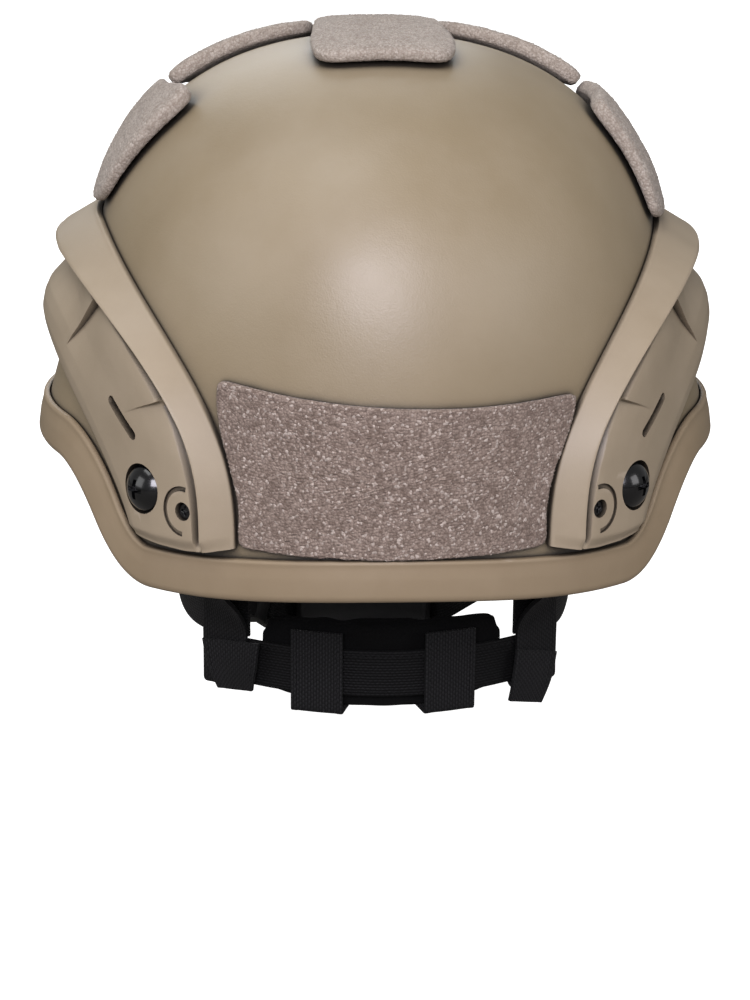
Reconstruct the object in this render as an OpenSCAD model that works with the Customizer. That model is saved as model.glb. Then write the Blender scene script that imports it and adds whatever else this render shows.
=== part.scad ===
/* [Shell] */
// Half the width of the shell at its waist, outside
half_w = 110; // [102:1:122]
// Half the length of the shell at its waist, outside
half_l = 132; // [122:1:146]
// Height of the waist above the lowest rim
waist_z = 65; // [60:1:72]
// Rise of the dome above the waist
dome_h = 117; // [108:1:128]
// Squareness of the dome, where 2 is an ellipse
dome_power = 2.5; // [2.3:0.05:2.7]
// Wall of the shell
wall = 5; // [4:0.5:7]

/* [Rim] */
// Height of the rim over the ears
ear_rise = 36.5; // [30:0.5:40]
// Height of the rim at the middle of the nape
nape_rise = 9.5; // [4:0.5:12]
// Dip of the rim at the temples
temple_drop = 7; // [0:0.5:9]
// Extra height of the rim at the brow
brow_rise = 5; // [0:0.5:8]
// Flare of the rim all round
rim_flare = 2; // [0:0.5:4]
// Extra flare of the ear cups
ear_flare = 15; // [10:0.5:18]
// How far above the waist the flare over the ears begins
ear_lift = 47; // [30:1:52]
// Height of the edge trim on the outside
trim_h = 13.5; // [10:0.5:16]
// Thickness of the edge trim
trim_t = 2.1; // [1.5:0.1:2.6]

/* [Rails] */
// Top of the rail band above the waist
rail_rise = 56; // [52:0.5:58]
// Lower end of the rail at the rear
rail_rear_z = 20; // [19:0.5:24]
// Lower end of the rail at the front
rail_front_z = 50; // [49:0.5:53]
// Height of the rail's face over the shell at its rear end
rail_h = 9.5; // [9:0.5:12]
// How much prouder the rail's panel is over the ear
rail_bulge = 6.5; // [4:0.5:8]
// Depth of the groove beside the band, under the panel's edge
groove_d = 1.9; // [1:0.1:2.2]
// Length of the slot in the rail panel
slot_l = 20; // [14:0.5:22]
// Width of the slot in the rail panel
slot_w = 3.6; // [2.5:0.1:4.5]

/* [Fasteners] */
// Diameter of the domed bolt head
bolt_head_d = 16.8; // [13:0.2:18]
// Diameter of the bolt shank
bolt_d = 5; // [4:0.1:6]
// Head of the small rail screws
screw_head_d = 6; // [5:0.1:6.5]
// Shank of the small rail screws
screw_d = 2.6; // [2:0.1:3]
// Threaded hole for a mount in the front shroud
lock_hole_d = 5; // [4:0.1:6]

/* [Soft goods] */
// Thickness of the liner pads
pad_t = 18; // [14:0.5:20]
// Thickness of the rear loop patch
patch_t = 2.4; // [1.5:0.1:3]
// Thickness of the padded loop strips on the crown
strip_t = 6.4; // [5:0.1:8]
// Width of the webbing
web_w = 20; // [18:0.5:22]
// Thickness of the webbing
web_t = 1.5; // [1.2:0.1:1.8]
// Thickness of the nape pad
nape_t = 9; // [6:0.5:10]
// Half the width of the nape pad
nape_half = 45.5; // [40:0.5:46]

/* [Buckle] */
// Width of the side-release buckle
buckle_w = 29; // [28:0.5:32]
// Thickness of the side-release buckle
buckle_t = 8; // [7.5:0.1:9]
// Length of the socket body
socket_l = 20; // [19:0.5:22]
// Travel of the socket off the plug
release = 17; // [15:0.5:17]

/* [Hidden] */
$fn = 48;

tan_shell = [0.66, 0.6, 0.53];
tan_rail = [0.6, 0.54, 0.47];
tan_loop = [0.64, 0.58, 0.54];
black = [0.09, 0.09, 0.09];
steel = [0.55, 0.55, 0.57];

// Clearances
skin_gap = 0.3;
fit_gap = 0.3;
disc_t = 1.4;

// The seat, the crown pad's underside, is the origin
seat_z = waist_z + dome_h - wall - 2 * skin_gap - disc_t - pad_t;

// Bolt places as an angle round the shell from the left ear and a height
bolt_rear = [49.1, 37.5];
bolt_front = [-50.5, 66];
screw_rear = [58, 33.7];
screw_front = [-44.5, 57];
shroud_holes = [[-90, 105], [-84.5, 70], [-95.5, 70]];

// Vector helpers
function unit(v) = v / norm(v);
function mix(a, b, t) = a + (b - a) * t;
function total(v) = v * [for (x = v) 1];
function clip(t) = min(1, max(0, t));
function smooth(a, b, x) = let(t = clip((x - a) / (b - a))) t * t * (3 - 2 * t);
function ease(a, b, x) = let(t = clip((x - a) / (b - a))) t < 0.5 ? 2 * t * t : 1 - 2 * (1 - t) * (1 - t);
function bell(x, w) = exp(-pow(x / w, 2));
function bez(p, t) =
    pow(1 - t, 3) * p[0] + 3 * t * pow(1 - t, 2) * p[1] + 3 * t * t * (1 - t) * p[2] + pow(t, 3) * p[3];
function flip_x(p) = [-p[0], p[1], p[2]];

// Outside of the shell: the rim, the flare and the radius at an angle and a height
function from_rear(phi) = abs((phi + 450) % 360 - 180);
function rim_z(phi) = let(d = from_rear(phi))
    ear_rise * ease(42, 70, d) + nape_rise * bell(d, 32)
    - temple_drop * bell(d - 130, 17) + brow_rise * smooth(148, 176, d);
function flare(phi) = rim_flare + ear_flare * bell(from_rear(phi) - 88, 37);
function near_ear(phi) = bell(from_rear(phi) - 88, 32);
function flare_top(phi) = waist_z + ear_lift * near_ear(phi);
function flare_at(phi, z) =
    let(top = flare_top(phi), t = min(1.5, max(0, (top - z) / (top - rim_z(phi)))))
    flare(phi) * mix(pow(t, 1.35), smooth(0, 1, 0.88 * t) / smooth(0, 1, 0.88), near_ear(phi));
function plan_r(phi) = 1 / sqrt(pow(cos(phi) / half_w, 2) + pow(sin(phi) / half_l, 2));
function shell_r(phi, z) = flare_at(phi, z)
    + plan_r(phi) * pow(max(0, 1 - pow(max(0, z - waist_z) / dome_h, dome_power)), 1 / dome_power);
function skin(phi, z) = let(r = shell_r(phi, z)) [r * cos(phi), r * sin(phi), z];
function skin_n(phi, z) =
    unit(cross(skin(phi + 1, z) - skin(phi - 1, z), skin(phi, z + 0.4) - skin(phi, z - 0.4)));
function side(phi, z, off) = skin(phi, z) + off * skin_n(phi, z);

// The crown of the shell, by plan position
function crown_rho(x, y) = norm([x / half_w, y / half_l]);
function crown_n(x, y) = let(rho = crown_rho(x, y), k = pow(max(0, 1 - pow(rho, dome_power)), 1 / dome_power))
    unit([pow(rho, dome_power - 2) * x / pow(half_w, 2), pow(rho, dome_power - 2) * y / pow(half_l, 2),
        pow(k, dome_power - 1) / dome_h]);
function crown_z(x, y) =
    waist_z + dome_h * pow(max(0, 1 - pow(crown_rho(x, y), dome_power)), 1 / dome_power);
function crown(x, y, off) = [x, y, crown_z(x, y)] + off * crown_n(x, y);

// A point at distance h above the rim, square to it, and off the skin
function rim_pt(phi, h, off) =
    let(r = shell_r(phi, rim_z(phi)), slope = (rim_z(phi + 0.5) - rim_z(phi - 0.5)) / (r * PI / 180),
        k = h / sqrt(1 + slope * slope))
    side(phi - slope * k / r * 180 / PI, rim_z(phi) + k, off);

// Skins a stack of rings that have as many points each, closed at both ends by a fan about a pole
function volume6(p, f) = total([for (t = f) p[t[0]] * cross(p[t[1]], p[t[2]])]);
module solid(p, f) {
    out = volume6(p, f) < 0;
    polyhedron(points = p, faces = out ? f : [for (t = f) [t[2], t[1], t[0]]], convexity = 10);
}
function wall_faces(n, m, rows) = [for (i = [0 : rows - 1], j = [0 : m - 1])
    let(k = (j + 1) % m, row = i * m, next = ((i + 1) % n) * m,
        a = row + j, b = row + k, c = next + j, d = next + k)
    each [[a, b, d], [a, d, c]]];
function mean(r) = [for (k = [0 : 2]) total([for (p = r) p[k]]) / len(r)];
module loft(rings, first = undef, last = undef) {
    n = len(rings);
    m = len(rings[0]);
    pole_a = is_undef(first) ? mean(rings[0]) : first;
    pole_b = is_undef(last) ? mean(rings[n - 1]) : last;
    solid([for (r = rings) each r, pole_a, pole_b],
        [each wall_faces(n, m, n - 1),
            for (j = [0 : m - 1]) [n * m, (j + 1) % m, j],
            for (j = [0 : m - 1]) [n * m + 1, (n - 1) * m + j, (n - 1) * m + (j + 1) % m]]);
}
module closed_loft(rings)
    solid([for (r = rings) each r], wall_faces(len(rings), len(rings[0]), len(rings)));

// A flat or padded patch: place(u, v, h) puts it on a surface, and the profile lists [reach, height],
// from back to front
function squircle(a, n) = pow(pow(abs(cos(a)), n) + pow(abs(sin(a)), n), -1 / n) * [cos(a), sin(a)];
module patch(place, profile, n = 4, segs = 32)
    loft([for (p = profile) [for (k = [0 : segs - 1]) let(q = p[0] * squircle(360 * k / segs, n))
        place(q[0], q[1], p[1])]],
        place(0, 0, profile[0][1]), place(0, 0, profile[len(profile) - 1][1]));

// Flat webbing along stations of [point, face normal]
module webbing(path, w = web_w, t = web_t)
    loft([for (i = [0 : len(path) - 1])
        let(p = path[i][0], dir = unit(path[min(i + 1, len(path) - 1)][0] - path[max(i - 1, 0)][0]),
            n = unit(path[i][1] - (path[i][1] * dir) * dir), s = cross(dir, n))
        [p + s * w / 2 + n * t / 2, p - s * w / 2 + n * t / 2,
            p - s * w / 2 - n * t / 2, p + s * w / 2 - n * t / 2]]);
function straight(a, b, na, nb, n) = [for (i = [0 : n]) [mix(a, b, i / n), mix(na, nb, i / n)]];
function bend(p, na, nb, n) = [for (i = [1 : n - 1]) [bez(p, i / n), mix(na, nb, i / n)]];
// Half a turn of webbing round a bar at o, from the side of normal n to the other; a is the way it leaves
function turn(o, a, n, r, sgn = 1, n_steps = 8) = [for (k = [0 : n_steps])
    let(t = 180 * k / n_steps, q = cos(t) * n - sin(t) * a) [o + r * q, sgn * q]];

// Frames: X and Y in the face, Z along the normal
module at(o, u, n) {
    w = cross(u, n);
    multmatrix([[w[0], u[0], n[0], o[0]], [w[1], u[1], n[1], o[1]], [w[2], u[2], n[2], o[2]], [0, 0, 0, 1]])
        children();
}
function along_phi(p) = unit(skin(p[0] + 1, p[1]) - skin(p[0] - 1, p[1]));
function up_skin(p) = cross(skin_n(p[0], p[1]), along_phi(p));
module on_shell(p) at(skin(p[0], p[1]), up_skin(p), skin_n(p[0], p[1])) children();
module both_sides() {
    children();
    mirror([1, 0, 0]) children();
}
module seated() translate([0, 0, -seat_z]) children();
module ring(ro, ri, z0, z1) translate([0, 0, z0]) difference() {
    cylinder(r = ro, h = z1 - z0);
    translate([0, 0, -1]) cylinder(r = ri, h = z1 - z0 + 2);
}
module post(r, z0, z1) translate([0, 0, z0]) cylinder(r = r, h = z1 - z0);
module block(x0, x1, y0, y1, z0, z1) translate([x0, y0, z0]) cube([x1 - x0, y1 - y0, z1 - z0]);
module bolt_places() both_sides() {
    on_shell(bolt_rear) children();
    on_shell(bolt_front) children();
}

// Shell
shell_steps = 90;
dome_rows = 9;
side_rows = 11;
// Rings: s up to 1 is the crown, down to where the sides begin; from 1 to 2 the sides, down to the rim
side_top = waist_z + dome_h * pow(cos(67.5), 2 / dome_power);
function shell_ring(s, off) = [for (k = [0 : shell_steps - 1])
    let(phi = 360 * k / shell_steps, rho = pow(sin(67.5 * s), 2 / dome_power) * plan_r(phi))
    s <= 1 ? crown(rho * cos(phi), rho * sin(phi), off)
        : side(phi, mix(side_top, rim_z(phi), s - 1), off)];
module shell_body() {
    stops = [for (i = [1 : dome_rows]) i / dome_rows, for (i = [1 : side_rows]) 1 + i / side_rows];
    loft([for (s = stops) shell_ring(s, 0), for (i = [len(stops) - 1 : -1 : 0]) shell_ring(stops[i], -wall)],
        crown(0, 0, 0), crown(0, 0, -wall));
}
module shell() seated() color(tan_shell) difference() {
    shell_body();
    bolt_places() post(nut_r + fit_gap, -3 * wall, 2 * wall);
    both_sides() {
        on_shell(screw_rear) post(screw_d / 2 + fit_gap, -3 * wall, 2 * wall);
        on_shell(screw_front) post(screw_d / 2 + fit_gap, -3 * wall, 2 * wall);
    }
    for (p = shroud_holes) on_shell(p) post(screw_d / 2 + fit_gap, -3 * wall, 2 * wall);
}

// Edge trim, a channel round the rim
module edge_trim() {
    g = skin_gap;
    inner = -wall - g;
    outline = [[trim_h, g], [trim_h, g + 0.6 * trim_t], [trim_h - 0.8, g + trim_t],
        [trim_h / 2, g + trim_t + 0.2], [0, g + trim_t],
        [-trim_t * 0.8, g + trim_t * 0.5], [-g - trim_t, -wall / 2],
        [-trim_t * 0.8, inner - trim_t * 0.5], [0, inner - trim_t], [trim_h * 0.65, inner - trim_t * 0.8],
        [trim_h * 0.7, inner], [-g - 0.1, inner], [-g - 0.1, g]];
    seated() color(tan_rail) closed_loft([for (k = [0 : shell_steps - 1]) let(phi = 360 * k / shell_steps)
        [for (q = outline) rim_pt(phi, q[0], q[1])]]);
}

// Side rails: three arches, the band's top edge, the groove and the lower edge, and heights between them
rail_top = waist_z + rail_rise;
// How much the rear end climbs from the ear to the back corner
rail_rear_step = 4;
// The last value rounds off the arch's peak where it is small
function arch(a, span_rear, span_front, step, top, n, soft = 60) =
    let(q = squircle(a, n), rear = a <= 90, z0 = rear ? rail_rear_z + step : rail_front_z)
    [(rear ? span_rear : span_front) * q[0],
        z0 + (top - z0) * (q[1] - pow(q[1], soft) / soft) / (1 - 1 / soft)];
function rail_at(a, w) =
    let(e = arch(a, 65.5, 59, rail_rear_step, rail_top - 1.6, 2.2),
        g = arch(a, 61.2, 55.5, 0.8 * rail_rear_step, rail_top - 14.9, 2.65),
        b = arch(a, 45.5, 43, 0, waist_z + 10.7, 1.33, 6))
    w < 0.3 ? mix(e, g, w / 0.3) : mix(g, b, (w - 0.3) / 0.7);
function rail_s(a) = pow(max(0, sin(a)), 1.5);
// Ridges across the panel as [station, depth of the drop below it, length of the climb back,
// reach over the panel]
ridges = [[33, 2.2, 12, 0.2], [58, 3.2, 26, 0.5]];
// Where the panel starts, next to the groove
panel_w = 0.36;
function fold(a) = min(a, 180 - a);
function recess(a, w) = max([for (r = ridges) let(d = r[0] - fold(a))
    d > 0 && d < r[2] ? r[1] * (1 - d / r[2]) * clip(1 - (w - panel_w) / r[3]) : 0]);
function bridge(a) = min([for (r = ridges) smooth(0, 1, abs(fold(a) - r[0]))]);
function rail_profile(a) =
    let(s = rail_s(a), end = smooth(0, 3, fold(a)), base = rail_h - 2 * (1 - end),
        band = base + 5.5 * s, lip = base - 0.7 - 2.5 * s, swell = rail_bulge * s,
        floor = lip - 0.6 * recess(a, panel_w) - groove_d * end * bridge(a))
    [[0, 2.4], [0.03, 3.2], [0.27, band - 0.5], [0.3, band], [0.31, floor], [0.345, floor],
        [panel_w, lip - recess(a, panel_w)], [0.5, lip + 0.22 * swell - recess(a, 0.5)],
        [0.6, lip + 0.58 * swell - recess(a, 0.6)], [0.7, lip + 0.9 * swell - recess(a, 0.7)],
        [0.8, lip - 0.2 + swell], [0.9, lip - 0.5 + 0.95 * swell],
        [0.97, lip - 1.5 + 0.85 * swell], [1, lip - 2.7 + 0.7 * swell],
        [1, skin_gap], [0.75, skin_gap], [0.5, skin_gap], [0.25, skin_gap], [0, skin_gap]];
rail_stops = [0, 1.5, 4, 8.5, 13, 17.5, 22, 26, 30, 32, 33, 34, 38, 43, 48, 53, 57, 58, 59, 64, 69, 74,
    79, 84.5];
module rail_blank() {
    stops = [each rail_stops, 90, for (i = [len(rail_stops) - 1 : -1 : 0]) 180 - rail_stops[i]];
    loft([for (a = stops) [for (q = rail_profile(a)) let(p = rail_at(a, q[0])) side(p[0], p[1], q[1])]]);
}
slot_place = [44.4, 60.8];
bolt_seat = rail_h - 3;
module slot_cut(l, w, z0, z1) translate([0, 0, z0]) linear_extrude(z1 - z0) {
    square([l - w, w], center = true);
    for (s = [-1, 1]) translate([s * (l - w) / 2, 0]) circle(d = w);
}
module rail() color(tan_rail) difference() {
    rail_blank();
    for (p = [bolt_rear, bolt_front]) on_shell(p) {
        post(bolt_head_d / 2 + 0.6, bolt_seat, 3 * rail_h);
        post(bolt_d / 2 + fit_gap, -1, rail_h);
    }
    for (p = [screw_rear, screw_front]) on_shell(p) {
        post(screw_head_d / 2 + fit_gap, rail_h * 0.6, 3 * rail_h);
        post(screw_d / 2 + fit_gap, -1, rail_h);
    }
    on_shell(screw_rear) rotate([0, 0, 80]) rotate_extrude(angle = 190)
        translate([7.2, rail_h - 1.8]) square([1.8, 9]);
    on_shell(slot_place) rotate([0, 0, -36]) slot_cut(slot_l, slot_w, 2, 3 * rail_h);
    on_shell([-slot_place[0], slot_place[1] + 14]) rotate([0, 0, 36]) slot_cut(slot_l, slot_w, 2, 3 * rail_h);
}
module rail_left() seated() rail();
module rail_right() seated() mirror([1, 0, 0]) rail();

// Bolts, washers, barrel nuts and the strap tabs they clamp
nut_r = bolt_d / 2 + 1.5;
washer_z = -wall - 0.5;
tab_z = washer_z - 2.5 - 0.1;
tab_t = 1.5;
nut_z = tab_z - tab_t - 0.1;
head_h = 6;
module cross_recess(w, l, z0, z1) {
    block(-w / 2, w / 2, -l / 2, l / 2, z0, z1);
    block(-l / 2, l / 2, -w / 2, w / 2, z0, z1);
}
module dome_head(d, h, z) {
    r = (pow(d / 2, 2) + pow(h, 2)) / (2 * h);
    intersection() {
        translate([0, 0, z + h - r]) sphere(r = r, $fn = 64);
        post(d / 2 - 0.05, z, z + h + 1);
    }
}
module rail_bolts() seated() color(black) bolt_places() difference() {
    union() {
        dome_head(bolt_head_d, head_h - 1.6, bolt_seat + 1.7);
        post(bolt_head_d / 2 - 0.05, bolt_seat + 0.1, bolt_seat + 1.8);
        post(bolt_d / 2 - 0.1, nut_z - 0.4, bolt_seat + 1);
    }
    cross_recess(1.7, 7, bolt_seat + head_h - 2.6, bolt_seat + head_h + 1);
}
module bolt_washers() seated() color(black) bolt_places() ring(8, nut_r + 0.2, washer_z - 2.5, washer_z);
module bolt_nuts() seated() color(steel) bolt_places() difference() {
    union() {
        post(7.5, nut_z - 1.4, nut_z);
        post(nut_r, nut_z - 0.1, -1);
    }
    post(bolt_d / 2, nut_z - 3, 1);
}
tab_bar = 17.5;
module strap_tabs() seated() color(black) bolt_places() difference() {
    translate([0, 0, tab_z - tab_t]) linear_extrude(tab_t) difference() {
        union() {
            circle(r = 9.5);
            translate([-9.5, -tab_bar + 6]) square([19, tab_bar - 6]);
            translate([-web_w / 2 - 2.5, -tab_bar - 3.5]) square([web_w + 5, 10]);
        }
        translate([-web_w / 2 - 0.8, -tab_bar]) square([web_w + 1.6, 4]);
    }
    post(nut_r + 0.2, tab_z - 2 * tab_t, tab_z + tab_t);
}
module small_screw(seat_h, depth) difference() {
    union() {
        post(screw_head_d / 2 - 0.1, seat_h + 0.1, seat_h + 1.9);
        post(screw_d / 2, -depth, seat_h + 0.5);
    }
    cross_recess(0.8, 3.4, seat_h + 1, seat_h + 3);
}
module rail_screws() seated() color(black) both_sides() {
    on_shell(screw_rear) small_screw(rail_h * 0.6, wall - 1);
    on_shell(screw_front) small_screw(rail_h * 0.6, wall - 1);
}

// Front shroud, a plate that follows the brow with a socket for a mount
shroud_mid = [-90, 86];
module shroud_frame() at(skin(shroud_mid[0], shroud_mid[1]), [0, 0, 1], [0, -1, 0]) children();
module shroud() seated() color(black) difference() {
    union() {
        patch(function (u, v, h) side(-90 + u * 10.5 * (1 - 0.12 * v), 87 + 27 * v, h),
            [[0.3, skin_gap], [0.65, skin_gap], [0.97, skin_gap], [1, 1], [1, 3.4], [0.95, 4.2],
                [0.6, 4.2], [0.3, 4.2]], 5, 36);
        shroud_frame() block(-13, 13, -12, 14, 2, 9.5);
    }
    shroud_frame() {
        block(-8.5, 8.5, -13, 9, 4.6, 10);
        post(lock_hole_d / 2, 0.9, 6);
    }
    for (p = shroud_holes) on_shell(p) {
        post(screw_d / 2 + fit_gap, -1, 9);
        post(screw_head_d / 2 + fit_gap, 2.2, 9);
    }
}
module shroud_screws() seated() color(steel) for (p = shroud_holes) on_shell(p) small_screw(2.2, wall - 1);

// Loop patches on the outside
patch_reach = [0.17, 0.34, 0.5, 0.67, 0.84];
flat_patch = [for (r = patch_reach) [r, skin_gap], [1, skin_gap], [1, patch_t], [0.98, patch_t + skin_gap],
    for (i = [len(patch_reach) - 1 : -1 : 0]) [patch_reach[i], patch_t + skin_gap]];
// The crown strips are padded and their edges stand off the shell
strip_reach = [0.2, 0.38, 0.55, 0.72];
function strip_profile(t) = [for (r = strip_reach) [r, skin_gap], [0.9, skin_gap + 0.12 * t], [1, 0.4 * t],
    [1, t - 0.8], [0.97, t], for (i = [len(strip_reach) - 1 : -1 : 0]) [strip_reach[i], t + skin_gap]];
function quad(c, u, v) =
    ((1 - v) * ((1 - u) * c[0] + (1 + u) * c[1]) + (1 + v) * ((1 + u) * c[2] + (1 - u) * c[3])) / 4;
// Heights over the shell, grown by a factor that leaves the gap under the strip
function thicker(h, k) = skin_gap + (h - skin_gap) * k;
module loop_panel_rear() seated() color(tan_loop)
    patch(function (u, v, h) side(90 + (23.9 + 4.3 * smooth(-0.6, 0.8, v) + 1.6 * max(0, u) * max(0, v)) * u,
        50 + 27 * v + (v > 0 ? v * (2.5 * u * u - 1.2 - 3 * u) : 0), h), flat_patch, 14, 48);
// It narrows to the front, where the shoulder strips come in
module loop_panel_top() seated() color(tan_loop) patch(
    function (u, v, h) crown(0.2445 * half_w * u * (0.88 + 0.12 * v), (0.417 * v - 0.06) * half_l, h),
    strip_profile(strip_t), 6, 32);
// Corners as shares of the half width and the half length
front_corners = [[0.1745, -0.682], [0.564, -0.591], [0.702, -0.129], [0.209, -0.288]];
module front_patch() patch(
    function (u, v, h) let(q = quad(front_corners, u, v))
        crown(q[0] * half_w, q[1] * half_l, thicker(h, 1 + 0.12 * u)),
    strip_profile(1.12 * strip_t), 7, 28);
module loop_panel_front_left() seated() color(tan_loop) front_patch();
module loop_panel_front_right() seated() color(tan_loop) mirror([1, 0, 0]) front_patch();
// Corners as an angle and a height: the lower edge follows the rail, the upper one the dome.
// The two strips are cut a little differently
side_corners_left = [[-42, rail_top + 1.3], [12, rail_top + 1.3],
    [29.5, waist_z + 0.855 * dome_h], [-22, waist_z + 0.799 * dome_h]];
side_corners_right = [[-42, rail_top + 4.5], [23.5, rail_top - 1.8],
    [22, waist_z + 0.812 * dome_h], [-22, waist_z + 0.799 * dome_h]];
module side_patch(corners) patch(
    function (u, v, h) let(q = quad(corners, u, v)) side(q[0], q[1], thicker(h, 1 + 0.2 * v)),
    strip_profile(1.03 * strip_t), 7, 40);
module loop_panel_side_left() seated() color(tan_loop) side_patch(side_corners_left);
module loop_panel_side_right() seated() color(tan_loop) mirror([1, 0, 0]) side_patch(side_corners_right);

// Liner: hook discs on the shell's inside and the pads they hold
disc_off = -wall - skin_gap;
pad_off = disc_off - disc_t - skin_gap;
pad_profile = [[0.35, 0], [0.7, 0], [0.92, 0.03], [1, 0.25], [1, 0.62], [0.93, 0.88], [0.72, 0.98],
    [0.36, 1]];
disc_profile = [[0.5, 0], [1, 0], [1, 1], [0.5, 1]];
// [angle, height, half angle, half height] of each pad on the shell's side
pad_front = [-90, 90, 29, 33];
pad_rear = [90, 72, 28, 33];
pad_side_front = [-21, 100, 16.5, 33];
pad_side_rear = [21, 100, 16.5, 33];
function disc_r() = 20;
module side_pad(p) seated() color(black)
    patch(function (u, v, h) side(p[0] + p[2] * u, p[1] + p[3] * v, pad_off - pad_t * h),
        pad_profile, 3.4, 28);
module disc(p) let(r = disc_r(), k = r / plan_r(p[0]) * 180 / PI)
    patch(function (u, v, h) side(p[0] + k * u, p[1] + r * v, disc_off - disc_t * h), disc_profile, 2, 20);
module hook_discs() seated() color(black) {
    patch(function (u, v, h) crown(disc_r() * u, disc_r() * v, disc_off - disc_t * h), disc_profile, 2, 20);
    disc(pad_front);
    disc(pad_rear);
    both_sides() {
        disc(pad_side_front);
        disc(pad_side_rear);
    }
}
module crown_pad() seated() color(black)
    patch(function (u, v, h) crown(0.51 * half_w * u, 0.455 * half_l * v, pad_off - pad_t * h),
        pad_profile, 2.2, 32);
module front_pad() side_pad(pad_front);
module rear_pad() side_pad(pad_rear);
module side_pad_front_left() side_pad(pad_side_front);
module side_pad_front_right() mirror([1, 0, 0]) side_pad(pad_side_front);
module side_pad_rear_left() side_pad(pad_side_rear);
module side_pad_rear_right() mirror([1, 0, 0]) side_pad(pad_side_rear);

// Nape harness: pieces stacked on one curve behind the neck
nape_y = half_l - 60;
function nape_n(x) = unit([44 * x / 3600, 1, 0]);
function nape(x, off, z) = [x, nape_y - 22 * pow(x / 60, 2), z] + off * nape_n(x);
band_w = 18;
band_z = -42;
band_off = 0.2 + web_t / 2;
over_off = band_off + web_t + 0.2;
module nape_pad() seated() color(black)
    patch(function (u, v, h)
            nape(nape_half * u, -nape_t * h, band_z + 2.5 + (16.5 - (v < 0 ? 2.5 * u * u : 0)) * v),
        [[0.3, 0], [0.62, 0], [0.94, 0.02], [1, 0.25], [1, 0.65], [0.92, 0.9], [0.62, 1], [0.3, 1]], 6, 36);
module nape_band() seated() color(black)
    webbing([for (x = [-64 : 8 : 64]) [nape(x, band_off, band_z), nape_n(x)]], band_w);
inner_x = 24;
module nape_loop(x) {
    n = nape_n(x);
    back = -nape_t - 0.7 - web_t / 2;
    low = band_z - 15.3;
    webbing([[nape(x, over_off, band_z + 16), n], [nape(x, over_off, band_z), n],
        [nape(x, over_off, low + 2), n], [nape(x, over_off - 0.7, low + 0.6), unit(n - [0, 0, 0.8])],
        [nape(x, over_off - 2.2, low), [0, 0, -1]], [nape(x, back + 2, low), [0, 0, -1]],
        [nape(x, back + 0.5, low + 0.6), unit(-n - [0, 0, 0.8])], [nape(x, back, low + 2), -n],
        [nape(x, back, band_z + 12), -n]], web_w);
}
module nape_loop_left() seated() color(black) nape_loop(inner_x);
module nape_loop_right() seated() color(black) nape_loop(-inner_x);

// Where webbing turns round the lower bar of a strap tab
tab_turn = tab_t / 2 + 0.3 + web_t / 2;
function tab_frame(p) = [skin(p[0], p[1]), up_skin(p), skin_n(p[0], p[1])];
function tab_start(p, tail) = let(f = tab_frame(p), o = f[0] - tab_bar * f[1] + (tab_z - tab_t / 2) * f[2])
    [[o - tail * f[1] + tab_turn * f[2], f[2]], each turn(o, -f[1], f[2], tab_turn)];
function tab_exit(p, drop) = let(f = tab_frame(p))
    f[0] - (tab_bar + drop) * f[1] + (tab_z - tab_t / 2 - tab_turn) * f[2];

// The nape strap's straight run, between its tab and the nape
outer_x = 57;
nape_a = tab_exit(bolt_rear, 5);
nape_b = mix(nape_a, nape(outer_x, over_off, band_z + 22), 0.72);
nape_line_n = let(d = unit(nape_b - nape_a), n = -skin_n(bolt_rear[0], bolt_rear[1])) unit(n - (n * d) * d);
band_low = band_z - band_w / 2;
module nape_strap() webbing([
    each tab_start(bolt_rear, 5),
    each straight(nape_a, nape_b, nape_line_n, nape_line_n, 3),
    each bend([nape_b, nape_b + 6 * unit(nape_b - nape_a), nape(outer_x, over_off, band_z + 20),
        nape(outer_x, over_off, band_z + 12)], nape_line_n, -nape_n(outer_x), 5),
    [nape(outer_x, over_off, band_z + 12), -nape_n(outer_x)],
    each turn(nape(outer_x, (over_off + turn_back) / 2, band_low), [0, 0, 1], nape_n(outer_x),
        (over_off - turn_back) / 2, -1),
    [nape(outer_x, turn_back, band_low + 10), nape_n(outer_x)]]);
turn_back = -0.7 - web_t / 2;
module nape_strap_left() seated() color(black) nape_strap();
module nape_strap_right() seated() color(black) mirror([1, 0, 0]) nape_strap();

// Junction rings under the ears: a triangle of three bars, with its own axes p and q in its face
junction = [half_w - 31, -35, -14];
junction_n = unit([1, -0.25, -0.25]);
junction_q = unit([0, 0, 1] - junction_n[2] * junction_n);
junction_p = cross(junction_q, junction_n);
bar_r = 1.5;
ring_side = web_w + 12;
ring_in = ring_side / (2 * sqrt(3));
bar_turn = bar_r + 0.3 + web_t / 2;
function ring_dir(a) = cos(a) * junction_p + sin(a) * junction_q;
function ring_bar(a) = junction + ring_in * ring_dir(a);
front_dir = 120;
rear_dir = 0;
stem_dir = 240;
module junction_ring() {
    corner = [for (a = [60, 180, 300]) junction + 2 * ring_in * ring_dir(a)];
    for (i = [0 : 2]) {
        a = corner[i];
        b = corner[(i + 1) % 3];
        at(a, unit(b - a), junction_n) rotate([-90, 0, 0]) cylinder(r = bar_r, h = norm(b - a));
        translate(a) sphere(r = bar_r + 0.3);
    }
}
module junction_left() seated() color(black) junction_ring();
module junction_right() seated() color(black) mirror([1, 0, 0]) junction_ring();
// Webbing that ends round a bar of the ring, and the point where it starts to turn
function ring_end(a, tail) = let(o = ring_bar(a), d = ring_dir(a))
    [each turn(o, d, -junction_n, bar_turn), [o + tail * d + (bar_turn - 0.3) * junction_n, junction_n]];
function ring_exit(a, l) = ring_bar(a) + l * ring_dir(a) - bar_turn * junction_n;

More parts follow.
